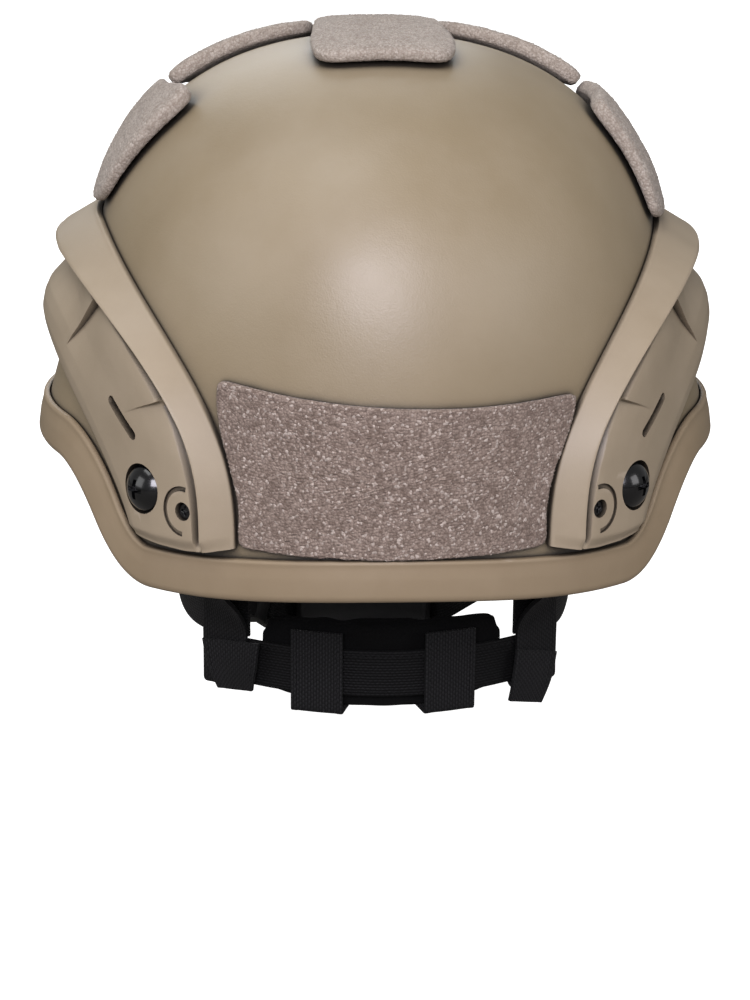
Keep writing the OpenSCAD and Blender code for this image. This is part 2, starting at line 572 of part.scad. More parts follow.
// Front straps
front_a = tab_exit(bolt_front, 7);
front_b = mix(front_a, ring_exit(front_dir, 8), 0.86);
front_line_n = let(d = unit(front_b - front_a),
        n = -unit(skin_n(bolt_front[0], bolt_front[1]) + 2 * junction_n))
    unit(n - (n * d) * d);
module front_strap() webbing([
    each tab_start(bolt_front, 5),
    each straight(front_a, front_b, front_line_n, front_line_n, 4),
    [ring_exit(front_dir, 4), mix(front_line_n, -junction_n, 0.7)],
    each ring_end(front_dir, 11)]);
module front_strap_left() seated() color(black) front_strap();
module front_strap_right() seated() color(black) mirror([1, 0, 0]) front_strap();

// Side straps, from the nape to the junction
side_z = band_z + (band_w + web_w) / 2 + 0.7;
module side_strap() webbing([
    for (x = [49 : 4 : 61]) [nape(x, band_off, side_z), -nape_n(x)],
    each bend([nape(62, band_off, side_z), [half_w - 38, nape_y - 34, side_z - 6],
        [half_w - 28, -4, side_z - 4], ring_exit(rear_dir, 5)], -nape_n(62), -junction_n, 9),
    each ring_end(rear_dir, 11)]);
module side_strap_left() seated() color(black) side_strap();
module side_strap_right() seated() color(black) mirror([1, 0, 0]) side_strap();

// Chin line: the straight run from the junction down to the side of the chin
chin_side = [33, -84, -68];
chin_front = [0, -96, -72];
stem_top = ring_exit(stem_dir, 6);
stem_u = unit(stem_top - chin_side);
stem_n = let(n = [1, -0.6, -0.2]) unit(n - (n * stem_u) * stem_u);
ladder_l = 10;
mouth = stem_top - (release + 6 + ladder_l + socket_l) * stem_u;
function on_stem(y, z) = mouth + y * stem_u + z * stem_n;
module stem_frame() at(mouth, stem_u, stem_n) children();

// Short strap that hangs from the left junction, through the socket's bars and down behind its body
module stem_strap() seated() color(black) webbing([
    each straight(on_stem(7, 0), stem_top, -stem_n, -stem_n, 4),
    [ring_exit(stem_dir, 3), -unit(stem_n + 2 * junction_n)],
    each ring_end(stem_dir, 11)]);

// Buckle: local X is its width, Y runs up the strap and Z out of its face
body_z = web_t / 2 + 0.35;
mid_z = body_z + buckle_t / 2;
plate_t = 1.6;
arm_x = web_w / 2 + 1;
plug_bar_y = -14.5;
prong_l = 14;
prong_w = 2.2;
prong_x = 8.2 + prong_w / 2;
guide_half = 2.2;
module plate(w, l, r) {
    translate([-w / 2 + r, 0]) square([w - 2 * r, l]);
    translate([-w / 2, r]) square([w, l - 2 * r]);
    for (x = [-1, 1], y = [r, l - r]) translate([x * (w / 2 - r), y]) circle(r = r);
}
module buckle_socket() seated() color(black) stem_frame() {
    difference() {
        translate([0, 0, body_z]) linear_extrude(buckle_t) plate(buckle_w, socket_l, 2.5);
        block(-12, 12, -1, prong_l + 1.5, body_z + plate_t, body_z + buckle_t - plate_t);
        for (s = [-1, 1]) translate([s * buckle_w / 2, 0, 0])
            block(-5.5, 5.5, -1, prong_l + 0.5, body_z + plate_t, body_z + buckle_t - plate_t);
    }
    for (s = [-1, 1]) {
        x0 = s > 0 ? arm_x : -buckle_w / 2;
        x1 = s > 0 ? buckle_w / 2 : -arm_x;
        block(x0, x1, socket_l - 1, socket_l + ladder_l, body_z, body_z + 3.6);
        block(x0, x1, socket_l + 2.8, socket_l + 5, -body_z - 2.2, body_z + 1);
    }
    block(-buckle_w / 2, buckle_w / 2, socket_l + 2.8, socket_l + 5, -body_z - 2.2, -body_z);
    block(-buckle_w / 2, buckle_w / 2, socket_l + 7.8, socket_l + ladder_l, body_z, body_z + 3);
}
module buckle_plug() seated() color(black) stem_frame() {
    translate([0, -9, body_z + 0.4]) linear_extrude(buckle_t - 0.8) plate(buckle_w - 1, 8.6, 1.5);
    block(-guide_half, guide_half, -1, 11, mid_z - 1.9, mid_z + 1.9);
    for (s = [-1, 1]) {
        x0 = s > 0 ? arm_x : 1 - buckle_w / 2;
        x1 = s > 0 ? buckle_w / 2 - 1 : -arm_x;
        block(x0, x1, plug_bar_y - 1.6, -8, mid_z - 1.7, mid_z + 1.7);
    }
    translate([-buckle_w / 2 + 1.5, plug_bar_y, mid_z]) rotate([0, 90, 0])
        cylinder(r = bar_r, h = buckle_w - 3);
}
// A prong: a springy arm whose head shows in the socket's side window and is pressed inwards
module prong() translate([0, 0, mid_z - 1.9]) linear_extrude(3.8) {
    translate([prong_x, prong_w / 2 - 0.1]) circle(d = prong_w);
    translate([prong_x - prong_w / 2, prong_w / 2 - 0.1]) square([prong_w, prong_l - 2 - prong_w / 2]);
    difference() {
        translate([8.2, prong_l - 6.5]) square([5.6, 6.5]);
        translate([15.8, prong_l + 1.2]) circle(r = 4);
    }
}
module buckle_prong_upper() seated() color(black) stem_frame() mirror([1, 0, 0]) prong();
module buckle_prong_lower() seated() color(black) stem_frame() prong();

// Chin strap: round the plug's bar, round the chin and up the right side to its junction
function mirror_path(p) = [for (q = p) [flip_x(q[0]), flip_x(q[1])]];
right_top = flip_x(stem_top);
right_u = flip_x(stem_u);
right_n = flip_x(stem_n);
chin_cut = 0.12;
right_low = mix(flip_x(chin_side), right_top, chin_cut);
chin_y = chin_front[1] + 44;
module chin_strap() seated() color(black) webbing([
    [on_stem(plug_bar_y - 9, mid_z + bar_turn - 0.6), stem_n],
    each turn(on_stem(plug_bar_y, mid_z), -stem_u, stem_n, bar_turn),
    each bend([on_stem(plug_bar_y, mid_z - bar_turn), on_stem(plug_bar_y - 12, 0.5),
        [19, chin_front[1] + 0.2, chin_front[2]], chin_front], -stem_n, [0, 1, 0], 8),
    [chin_front, [0, 1, 0]],
    each bend([chin_front, [-19, chin_front[1] + 0.2, chin_front[2]], right_low - 12 * right_u, right_low],
        [0, 1, 0], -right_n, 8),
    each straight(right_low, right_top, -right_n, -right_n, 4),
    [flip_x(ring_exit(stem_dir, 3)), -unit(right_n + 2 * flip_x(junction_n))],
    each mirror_path(ring_end(stem_dir, 11))]);

// Chin cup, a shallow shell under the strap
cup_r = chin_y - chin_front[1] - web_t / 2 - 0.5;
cup_t = 5;
module chin_cup() seated() color(black) {
    spans = 14;
    z = chin_front[2];
    section = [[0, 14], [0, 4], [0, -6], [-2.5, -13], [-9, -17], [-14, -17.5], [-14.5, -14], [-9, -12.5],
        [-cup_t - 1.5, -9], [-cup_t, -3], [-cup_t, 4], [-cup_t, 13]];
    loft([for (k = [0 : spans])
        let(a = -90 + mix(-44, 44, k / spans), taper = 1 - 0.28 * pow(abs(k / spans * 2 - 1), 3))
        [for (q = section) let(r = cup_r + q[0]) [r * cos(a), chin_y + r * sin(a), z + q[1] * taper]]]);
}

// Slides on the webbing: end bars behind it, a middle bar over it
module slide_bars(l = 14) {
    z0 = web_t / 2 + 0.35;
    x = web_w / 2 + 0.6;
    for (s = [-1, 1]) {
        block(s > 0 ? x : -x - 2.6, s > 0 ? x + 2.6 : -x, -l / 2, l / 2, -z0 - 1.6, z0 + 1.6);
        block(-x - 1, x + 1, s > 0 ? l / 2 - 2.4 : -l / 2, s > 0 ? l / 2 : -l / 2 + 2.4, -z0 - 1.6, -z0);
    }
    block(-x - 1, x + 1, -1.6, 1.6, z0, z0 + 1.6);
}
module chin_adjuster() seated() color(black)
    at(mix(right_low, right_top, 0.55), right_u, right_n) slide_bars();
module nape_slide() at(mix(nape_a, nape_b, 0.5), unit(nape_b - nape_a), nape_line_n) slide_bars(12);
module nape_adjuster_left() seated() color(black) nape_slide();
module nape_adjuster_right() seated() color(black) mirror([1, 0, 0]) nape_slide();
module front_slide() at(mix(front_a, front_b, 0.5), unit(front_b - front_a), -front_line_n) slide_bars();
module front_adjuster_left() seated() color(black) front_slide();
module front_adjuster_right() seated() color(black) mirror([1, 0, 0]) front_slide();

shell();
edge_trim();
rail_left();
rail_right();
rail_bolts();
bolt_washers();
bolt_nuts();
strap_tabs();
rail_screws();
shroud();
shroud_screws();
loop_panel_rear();
loop_panel_top();
loop_panel_front_left();
loop_panel_front_right();
loop_panel_side_left();
loop_panel_side_right();
hook_discs();
crown_pad();
front_pad();
rear_pad();
side_pad_front_left();
side_pad_front_right();
side_pad_rear_left();
side_pad_rear_right();
front_strap_left();
front_strap_right();
nape_strap_left();
nape_strap_right();
side_strap_left();
side_strap_right();
junction_left();
junction_right();
nape_pad();
nape_band();
nape_loop_left();
nape_loop_right();
stem_strap();
chin_strap();
chin_cup();
buckle_socket();
buckle_plug();
buckle_prong_upper();
buckle_prong_lower();
chin_adjuster();
nape_adjuster_left();
nape_adjuster_right();
front_adjuster_left();
front_adjuster_right();
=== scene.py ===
from math import degrees, pi, radians

import bmesh
import bpy
import numpy as np
from mathutils import Matrix, Vector
from mathutils.bvhtree import BVHTree


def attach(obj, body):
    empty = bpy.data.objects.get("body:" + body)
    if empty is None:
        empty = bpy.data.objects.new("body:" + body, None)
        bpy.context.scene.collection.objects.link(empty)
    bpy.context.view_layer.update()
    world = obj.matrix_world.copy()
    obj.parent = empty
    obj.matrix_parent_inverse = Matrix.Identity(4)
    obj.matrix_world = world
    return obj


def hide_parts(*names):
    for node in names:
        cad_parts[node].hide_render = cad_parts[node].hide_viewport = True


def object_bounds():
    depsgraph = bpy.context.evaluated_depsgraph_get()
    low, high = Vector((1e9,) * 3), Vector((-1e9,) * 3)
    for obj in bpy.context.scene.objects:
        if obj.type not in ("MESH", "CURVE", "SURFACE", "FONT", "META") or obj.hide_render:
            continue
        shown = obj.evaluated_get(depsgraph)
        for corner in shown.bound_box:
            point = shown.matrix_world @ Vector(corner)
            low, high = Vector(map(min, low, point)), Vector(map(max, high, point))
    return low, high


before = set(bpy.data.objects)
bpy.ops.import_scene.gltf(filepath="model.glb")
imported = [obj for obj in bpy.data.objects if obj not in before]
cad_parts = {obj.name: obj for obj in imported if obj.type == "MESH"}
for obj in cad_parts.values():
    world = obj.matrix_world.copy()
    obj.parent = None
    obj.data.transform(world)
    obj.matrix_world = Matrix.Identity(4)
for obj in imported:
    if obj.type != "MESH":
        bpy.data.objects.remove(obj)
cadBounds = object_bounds()
print("frame loaded,", len(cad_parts), "nodes")

# Shapes are worked out in millimetres over the lowest rim, then moved to metres over the seat
millimetre = 0.001
seatHeight = 157.0

shellSizes = {
    "halfWidth": 110, "halfLength": 132, "waist": 65, "dome": 117, "power": 2.5, "wall": 5,
    "earRise": 36.5, "napeRise": 9.5, "templeDrop": 7, "browRise": 5,
    "rimFlare": 2, "earFlare": 15, "earLift": 47, "crownTurn": 67.5,
    "around": 360, "crownRows": 44, "sideRows": 52, "innerRows": 24,
}


# Small maths, all of it on arrays
def cosd(a):
    return np.cos(np.radians(a))


def sind(a):
    return np.sin(np.radians(a))


def clip01(t):
    return np.clip(t, 0, 1)


def smooth(a, b, x):
    t = clip01((x - a) / (b - a))
    return t * t * (3 - 2 * t)


def ease(a, b, x):
    t = clip01((x - a) / (b - a))
    return np.where(t < 0.5, 2 * t * t, 1 - 2 * (1 - t) ** 2)


def bell(x, w):
    return np.exp(-(x / w) ** 2)


def mix(a, b, t):
    return a + (b - a) * t


def vec(*values):
    return np.array(values, float)


def unit(v):
    return v / np.linalg.norm(v, axis=-1, keepdims=True)


# The part of a normal that stands square to a run
def square(normal, run):
    return unit(normal - (normal * run).sum(-1, keepdims=True) * run)


def xyz(x, y, z):
    return np.stack(np.broadcast_arrays(x, y, z), -1).astype(float)


def column(h):
    return np.asarray(h, float)[..., None]


# The outside of the shell, by angle from the left ear and height over the lowest rim
def fromRear(phi):
    return np.abs((phi + 450) % 360 - 180)


def rimHeight(phi):
    s, d = shellSizes, fromRear(phi)
    return (s["earRise"] * ease(42, 70, d) + s["napeRise"] * bell(d, 32)
            - s["templeDrop"] * bell(d - 130, 17) + s["browRise"] * smooth(148, 176, d))


def flareAt(phi, z):
    s, d = shellSizes, fromRear(phi)
    nearEar = bell(d - 88, 32)
    top = s["waist"] + s["earLift"] * nearEar
    t = np.clip((top - z) / (top - rimHeight(phi)), 0, 1.5)
    full = s["rimFlare"] + s["earFlare"] * bell(d - 88, 37)
    return full * mix(t ** 1.35, smooth(0, 1, 0.88 * t) / smooth(0, 1, 0.88), nearEar)


def planRadius(phi):
    s = shellSizes
    return 1 / np.sqrt((cosd(phi) / s["halfWidth"]) ** 2 + (sind(phi) / s["halfLength"]) ** 2)


def shellRadius(phi, z):
    s = shellSizes
    rise = np.maximum(0, z - s["waist"]) / s["dome"]
    return flareAt(phi, z) + planRadius(phi) * np.maximum(0, 1 - rise ** s["power"]) ** (1 / s["power"])


def skin(phi, z):
    r = shellRadius(phi, z)
    return xyz(r * cosd(phi), r * sind(phi), z)


def skinNormal(phi, z):
    return unit(np.cross(skin(phi + 1, z) - skin(phi - 1, z), skin(phi, z + 0.4) - skin(phi, z - 0.4)))


def side(phi, z, off):
    phi, z, off = np.broadcast_arrays(phi, z, off)
    return skin(phi, z) + column(off) * skinNormal(phi, z)


def crown(x, y, off):
    s = shellSizes
    rho = np.hypot(x / s["halfWidth"], y / s["halfLength"])
    k = np.maximum(0, 1 - rho ** s["power"]) ** (1 / s["power"])
    slope = rho ** (s["power"] - 2)
    normal = unit(xyz(slope * x / s["halfWidth"] ** 2, slope * y / s["halfLength"] ** 2,
                      k ** (s["power"] - 1) / s["dome"]))
    return xyz(x, y, s["waist"] + s["dome"] * k) + column(off) * normal


# A point at height h over the rim, square to it
def rimPoint(phi, h, off):
    r = shellRadius(phi, rimHeight(phi))
    slope = (rimHeight(phi + 0.5) - rimHeight(phi - 0.5)) / (r * pi / 180)
    k = h / np.sqrt(1 + slope * slope)
    return side(phi - slope * k / r * 180 / pi, rimHeight(phi) + k, off)


# Frames on the shell: origin, the direction up the skin and the normal
def shellFrame(place):
    phi, z = place
    origin, normal = skin(phi, z), skinNormal(phi, z)
    along = unit(skin(phi + 1, z) - skin(phi - 1, z))
    return origin, np.cross(normal, along), normal


def inFrame(points, place):
    origin, up, normal = place
    points = np.asarray(points, float)
    return origin + points[..., :1] * np.cross(up, normal) + points[..., 1:2] * up + points[..., 2:] * normal


bothSides = (("left", False), ("right", True))


def mirrored(points):
    return points * vec(-1, 1, 1)


def ringAngles(count):
    return np.arange(count) * 360 / count


# A mesh part is a closed skin of points and faces, and may carry a material number
def volumeOf(points, faces):
    total = 0.0
    for size in {len(face) for face in faces}:
        corners = points[np.array([face for face in faces if len(face) == size])]
        total += float((corners[:, :1] * np.cross(corners[:, 1:-1], corners[:, 2:])).sum())
    return total


def facingOut(points, faces):
    sample = points - points.mean(0)
    if volumeOf(sample, faces) < 0:
        faces = [tuple(reversed(face)) for face in faces]
    return points, faces


def gridFaces(rows, across, wrapRows):
    faces = []
    for i in range(rows if wrapRows else rows - 1):
        a, b = i * across, (i + 1) % rows * across
        faces += [(a + j, a + (j + 1) % across, b + (j + 1) % across, b + j) for j in range(across)]
    return faces


def loft(rings, closed=False):
    rows, across = rings.shape[:2]
    points, faces = rings.reshape(-1, 3), gridFaces(rows, across, closed)
    if not closed:
        last = (rows - 1) * across
        points = np.vstack([points, rings[0].mean(0), rings[-1].mean(0)])
        faces += [(len(points) - 2, (j + 1) % across, j) for j in range(across)]
        faces += [(len(points) - 1, last + j, last + (j + 1) % across) for j in range(across)]
    return facingOut(points, faces)


def overSeat(points):
    return (points - vec(0, 0, seatHeight)) * millimetre


def joined(parts):
    points, faces, indices = [], [], []
    for partPoints, partFaces, *slotNumber in parts:
        offset = sum(len(p) for p in points)
        points.append(partPoints)
        faces += [tuple(offset + i for i in face) for face in partFaces]
        indices += [slotNumber[0] if slotNumber else 0] * len(partFaces)
    return overSeat(np.vstack(points)), faces, indices


def addObject(name, data):
    made = bpy.data.objects.new(name, data)
    bpy.context.scene.collection.objects.link(made)
    return made


def vertexValues(mesh, key):
    values = np.empty(len(mesh.vertices) * 3, np.float32)
    mesh.vertices.foreach_get(key, values)
    return values.reshape(-1, 3)


def shadeSmooth(mesh, crease):
    mesh.polygons.foreach_set("use_smooth", [True] * len(mesh.polygons))
    mesh.set_sharp_from_angle(angle=radians(crease))


# New pieces all ride on the helmet
def newPiece(name, parts, materials, slot, replaced=(), crease=38, layers=None):
    placed, faces, indices = joined(parts)
    mesh = bpy.data.meshes.new(name)
    mesh.from_pydata(placed.tolist(), [], faces)
    mesh.polygons.foreach_set("material_index", indices)
    if layers is not None:
        attribute = mesh.attributes.new("cloth", "FLOAT_VECTOR", "POINT")
        attribute.data.foreach_set("vector", (layers * millimetre).astype(np.float32).ravel())
    shadeSmooth(mesh, crease)
    for material in materials:
        mesh.materials.append(material)
    return finishPiece(addObject(name, mesh), "helmet", slot, replaced)


def finishPiece(piece, body, slot, replaced):
    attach(piece, body)
    if replaced:
        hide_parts(*replaced)
    return piece


def bakeModifiers(piece, crease):
    shape = piece.evaluated_get(bpy.context.evaluated_depsgraph_get())
    mesh = bpy.data.meshes.new_from_object(shape)
    piece.modifiers.clear()
    piece.data = mesh
    shadeSmooth(mesh, crease)


# Camera: the photograph's place behind the helmet, looking a little down
cameraPlace = {
    "azimuth": 176.89, "elevation": 12.147, "distance": 0.99726, "tiltDown": 5.072, "roll": 0.5165,
    "target": (-0.00015, 0, 0.095), "focalPixels": 2604.2, "photoHeight": 1000, "sensor": 36,
}


def backVector(azimuth, elevation):
    return vec(sind(azimuth) * cosd(elevation), -cosd(azimuth) * cosd(elevation), sind(elevation))


def addCamera():
    c = cameraPlace
    target = vec(*c["target"]) - vec(0, 0, seatHeight * millimetre)
    place = target + c["distance"] * backVector(c["azimuth"], c["elevation"])
    back = backVector(c["azimuth"], c["elevation"] + c["tiltDown"])
    right = unit(np.cross(-back, vec(0, 0, 1)))
    up = np.cross(back, right)
    turned = cosd(c["roll"]) * right + sind(c["roll"]) * up
    raised = cosd(c["roll"]) * up - sind(c["roll"]) * right
    data = bpy.data.cameras.new("photo_camera")
    data.sensor_width = c["sensor"]
    data.lens = c["focalPixels"] * c["sensor"] / c["photoHeight"]
    data.clip_start = 0.01
    camera = addObject("photo_camera", data)
    columns = np.column_stack([turned, raised, back, place])
    camera.matrix_world = Matrix(np.vstack([columns, [0, 0, 0, 1]]).tolist())
    bpy.context.scene.camera = camera


addCamera()
print("camera placed")


# Shader helpers
def srgb(red, green, blue):
    values = vec(red, green, blue) / 255
    linear = np.where(values <= 0.04045, values / 12.92, ((values + 0.055) / 1.055) ** 2.4)
    return (*linear.tolist(), 1.0)


def plug(tree, value, socket):
    if isinstance(value, bpy.types.NodeSocket):
        tree.links.new(value, socket)
    else:
        socket.default_value = value


def addNode(tree, kind, inputs=None, **settings):
    node = tree.nodes.new(kind)
    for key, value in settings.items():
        setattr(node, key, value)
    for key, value in (inputs or {}).items():
        plug(tree, value, node.inputs[key])
    return node


# Shorthands for the nodes that are used most
def addMaths(tree, operation, first, second=0.0, clamp=False):
    node = addNode(tree, "ShaderNodeMath", {0: first, 1: second}, operation=operation, use_clamp=clamp)
    return node.outputs[0]


def plus(tree, first, second, clamp=False):
    return addMaths(tree, "ADD", first, second, clamp)


def minus(tree, first, second, clamp=False):
    return addMaths(tree, "SUBTRACT", first, second, clamp)


def times(tree, first, second, clamp=False):
    return addMaths(tree, "MULTIPLY", first, second, clamp)


def rescale(tree, value, low, high, toLow=0.0, toHigh=1.0):
    ends = {"Value": value, "From Min": low, "From Max": high, "To Min": toLow, "To Max": toHigh}
    return addNode(tree, "ShaderNodeMapRange", ends).outputs["Result"]


def spread(tree, value, low=0.0, high=1.0):
    return rescale(tree, value, 0.3, 0.7, low, high)


def addNoise(tree, vector, scale, detail=3.0, roughness=0.55):
    settings = {"Vector": vector, "Scale": scale, "Detail": detail, "Roughness": roughness}
    return addNode(tree, "ShaderNodeTexNoise", settings).outputs["Fac"]


# Colours go in as sockets, or as red, green and blue up to 255
def mixColours(tree, factor, first, second):
    first, second = [colour if isinstance(colour, bpy.types.NodeSocket) else srgb(*colour)
                     for colour in (first, second)]
    return addNode(tree, "ShaderNodeMix", {0: factor, 6: first, 7: second}, data_type="RGBA").outputs[2]


# Colours laid one over the other, each through its own mask
def layered(tree, base, *coats):
    for mask, colour in coats:
        base = mixColours(tree, mask, base, colour)
    return base


# A group's inputs come by name and starting value, none for a vector
def openGroup(name, inputs):
    group = bpy.data.node_groups.new(name, "ShaderNodeTree")
    for label, value in inputs.items():
        kind = "NodeSocketVector" if value is None else "NodeSocketFloat"
        socket = group.interface.new_socket(name=label, in_out="INPUT", socket_type=kind)
        if value is not None:
            socket.default_value = value
    return group, group.nodes.new("NodeGroupInput").outputs


def closeGroup(group, results):
    for label in results:
        group.interface.new_socket(name=label, in_out="OUTPUT", socket_type="NodeSocketFloat")
    outputs = group.nodes.new("NodeGroupOutput").inputs
    for label, value in results.items():
        group.links.new(value, outputs[label])
    return group


def placeGroup(tree, name, inputs):
    return addNode(tree, "ShaderNodeGroup", inputs, node_tree=sharedEffects[name]).outputs


# Effects that several finishes share
def grainGroup():
    group, inputs = openGroup("moulded_grain", {"Vector": None, "Fine Scale": 1500.0, "Broad Scale": 40.0})
    fine = addNoise(group, inputs["Vector"], inputs["Fine Scale"], 2.0)
    middle = addNoise(group, inputs["Vector"], times(group, inputs["Fine Scale"], 0.31), 2.0)
    broad = addNoise(group, inputs["Vector"], inputs["Broad Scale"], 5.0, 0.6)
    return closeGroup(group, {"Height": plus(group, fine, times(group, middle, 0.7)), "Mottle": broad})


# Edge marks sharp convex edges for wear; Hollow marks concave spots, which are laid in a darker colour
def wearGroup():
    group, inputs = openGroup("edge_wear", {"Vector": None, "Start": 0.52, "Sharpness": 14.0})
    pointiness = group.nodes.new("ShaderNodeNewGeometry").outputs["Pointiness"]
    broken = times(group, minus(group, addNoise(group, inputs["Vector"], 420.0), 0.5), 0.05)
    over = minus(group, plus(group, pointiness, broken), inputs["Start"])
    under = minus(group, 0.485, pointiness)
    return closeGroup(group, {"Edge": times(group, over, inputs["Sharpness"], clamp=True),
                              "Hollow": times(group, under, inputs["Sharpness"], clamp=True)})


def dustGroup():
    group, inputs = openGroup("settled_dust", {"Vector": None, "Amount": 0.2})
    normal = group.nodes.new("ShaderNodeNewGeometry").outputs["Normal"]
    upward = addNode(group, "ShaderNodeSeparateXYZ", {0: normal}).outputs["Z"]
    patchy = rescale(group, addNoise(group, inputs["Vector"], 26.0, 6.0, 0.65), 0.42, 0.75)
    lying = times(group, plus(group, upward, 0.35, clamp=True), patchy)
    return closeGroup(group, {"Mask": times(group, lying, inputs["Amount"], clamp=True)})


# Painted shade where two parts nearly meet: the colour darkens where the surface sees little open space
def creviceGroup():
    group, inputs = openGroup("crevice_shade", {"Reach": 0.008, "Start": 0.82})
    clear = addNode(group, "ShaderNodeAmbientOcclusion", {"Distance": inputs["Reach"]}, samples=8)
    full = minus(group, inputs["Start"], 0.48)
    return closeGroup(group, {"Mask": rescale(group, clear.outputs["AO"], inputs["Start"], full, 0.0, 0.95)})


# Webbing: columns of warp yarn whose floats step from one column to the next; raised yarn is painted lighter
# and the dips darker, painted light and shade, with a random fibre tone over it
def weaveGroup():
    group, inputs = openGroup("webbing_weave", {"Vector": None, "Column": 0.0011, "Float": 0.0017})
    parts = addNode(group, "ShaderNodeSeparateXYZ", {0: inputs["Vector"]}).outputs
    wobble = times(group, minus(group, addNoise(group, inputs["Vector"], 300.0), 0.5), 0.35)
    across = plus(group, addMaths(group, "DIVIDE", parts[0], inputs["Column"]), wobble)
    along = plus(group, addMaths(group, "DIVIDE", parts[1], inputs["Float"]), wobble)
    stepped = plus(group, along, times(group, addMaths(group, "FLOOR", across), 0.5))
    yarn, ribs = [addMaths(group, "ABSOLUTE", addMaths(group, "SINE", times(group, way, pi)))
                  for way in (across, stepped)]
    height = times(group, yarn, plus(group, times(group, ribs, 0.65), 0.35))
    fibre = addNoise(group, inputs["Vector"], 2600.0, 2.0)
    return closeGroup(group, {"Height": height, "PaintedLight": times(group, height, plus(group, fibre, 0.5))})


# Loop pile: small curls, each with painted shade at its root and painted glints on a few
def pileGroup():
    group, inputs = openGroup("loop_pile", {"Vector": None, "Curls": 620.0})
    vector = inputs["Vector"]
    bent = addNode(group, "ShaderNodeTexNoise", {"Vector": vector, "Scale": 380.0, "Detail": 2.0})
    push = addNode(group, "ShaderNodeVectorMath", {0: bent.outputs["Color"], 1: (0.0012, 0.0012, 0.0012)},
                   operation="MULTIPLY")
    place = addNode(group, "ShaderNodeVectorMath", {0: vector, 1: push.outputs[0]}, operation="ADD")
    curls = addNode(group, "ShaderNodeTexVoronoi", {"Vector": place.outputs[0], "Scale": inputs["Curls"]},
                    feature="F1").outputs
    single = addNode(group, "ShaderNodeSeparateColor", {0: curls["Color"]}).outputs
    return closeGroup(group, {
        "Height": minus(group, 1.0, curls["Distance"]),
        "Tint": times(group, plus(group, single[0], addNoise(group, vector, 160.0)), 0.5),
        # Painted shade: each curl darker towards its root, away from its middle
        "Root": rescale(group, curls["Distance"], 0.35, 0.75),
        # Painted glints: a few curls picked at random are lighter
        "Sparkle": rescale(group, single[1], 0.86, 0.95)})


# Brushed microfibre: patches of nap that lie one way or another
def napGroup():
    group, inputs = openGroup("brushed_nap", {"Vector": None, "Fibre Scale": 2200.0})
    fibre = addNoise(group, inputs["Vector"], inputs["Fibre Scale"], 3.0, 0.7)
    lay = rescale(group, addNoise(group, inputs["Vector"], 55.0, 4.0, 0.6), 0.35, 0.65)
    return closeGroup(group, {"Height": plus(group, fibre, times(group, lay, 0.25)), "Lay": lay})


sharedEffects = {"grain": grainGroup(), "wear": wearGroup(), "dust": dustGroup(), "creviceShade": creviceGroup(),
                 "weave": weaveGroup(), "pile": pileGroup(), "nap": napGroup()}


def emptyMaterial(name):
    material = bpy.data.materials.new(name)
    material.use_nodes = True
    tree = material.node_tree
    tree.nodes.clear()
    return material, tree, tree.nodes.new("ShaderNodeOutputMaterial").inputs["Surface"]


def startMaterial(name):
    material, tree, surface = emptyMaterial(name)
    shader = tree.nodes.new("ShaderNodeBsdfPrincipled")
    tree.links.new(shader.outputs[0], surface)
    return material, tree, shader, tree.nodes.new("ShaderNodeTexCoord").outputs["Object"]


def feed(tree, shader, **sockets):
    names = {"colour": "Base Color", "roughness": "Roughness", "metallic": "Metallic",
             "specular": "Specular IOR Level", "sheen": "Sheen Weight", "sheenRoughness": "Sheen Roughness",
             "coat": "Coat Weight", "coatRoughness": "Coat Roughness"}
    for key, value in sockets.items():
        plug(tree, value, shader.inputs[names[key]])


def addBump(tree, shader, height, depth):
    bump = addNode(tree, "ShaderNodeBump", {"Height": height, "Distance": depth, "Strength": 1.0})
    tree.links.new(bump.outputs["Normal"], shader.inputs["Normal"])


# Painted, moulded and rubber surfaces
def mouldedFinish(name, **spec):
    material, tree, shader, place = startMaterial(name)
    grain = placeGroup(tree, "grain", {"Vector": place, "Fine Scale": spec["grainScale"],
                                       "Broad Scale": spec.get("mottleScale", 38.0)})
    wear = placeGroup(tree, "wear", {"Vector": place, "Start": 0.54})
    dust = placeGroup(tree, "dust", {"Vector": place, "Amount": spec["dust"]})["Mask"]
    edge = times(tree, wear["Edge"], spec.get("wear", 0.35))
    base = layered(tree, spec["dark"], (spread(tree, grain["Mottle"]), spec["light"]),
                   (times(tree, spread(tree, grain["Height"]), 0.12), spec["light"]),
                   # A darker colour laid in concave spots
                   (times(tree, wear["Hollow"], 0.35), spec["grimeColour"]), (edge, spec["wornColour"]),
                   (dust, spec.get("dustColour", (196, 186, 172))))
    # Painted shade: a dark colour mixed in where parts nearly meet
    if "creviceShade" in spec:
        deep = placeGroup(tree, "creviceShade", {"Reach": spec.get("creviceReach", 0.008),
                                            "Start": spec.get("creviceStart", 0.82)})["Mask"]
        base = mixColours(tree, deep, base, spec["creviceShade"])
    rough = spread(tree, grain["Mottle"], spec["roughness"] - 0.05, spec["roughness"] + 0.05)
    rough = minus(tree, plus(tree, rough, times(tree, dust, 0.2)), times(tree, edge, 0.12), clamp=True)
    feed(tree, shader, colour=base, roughness=rough, specular=spec.get("specular", 0.5))
    addBump(tree, shader, grain["Height"], spec["grainDepth"])
    return material


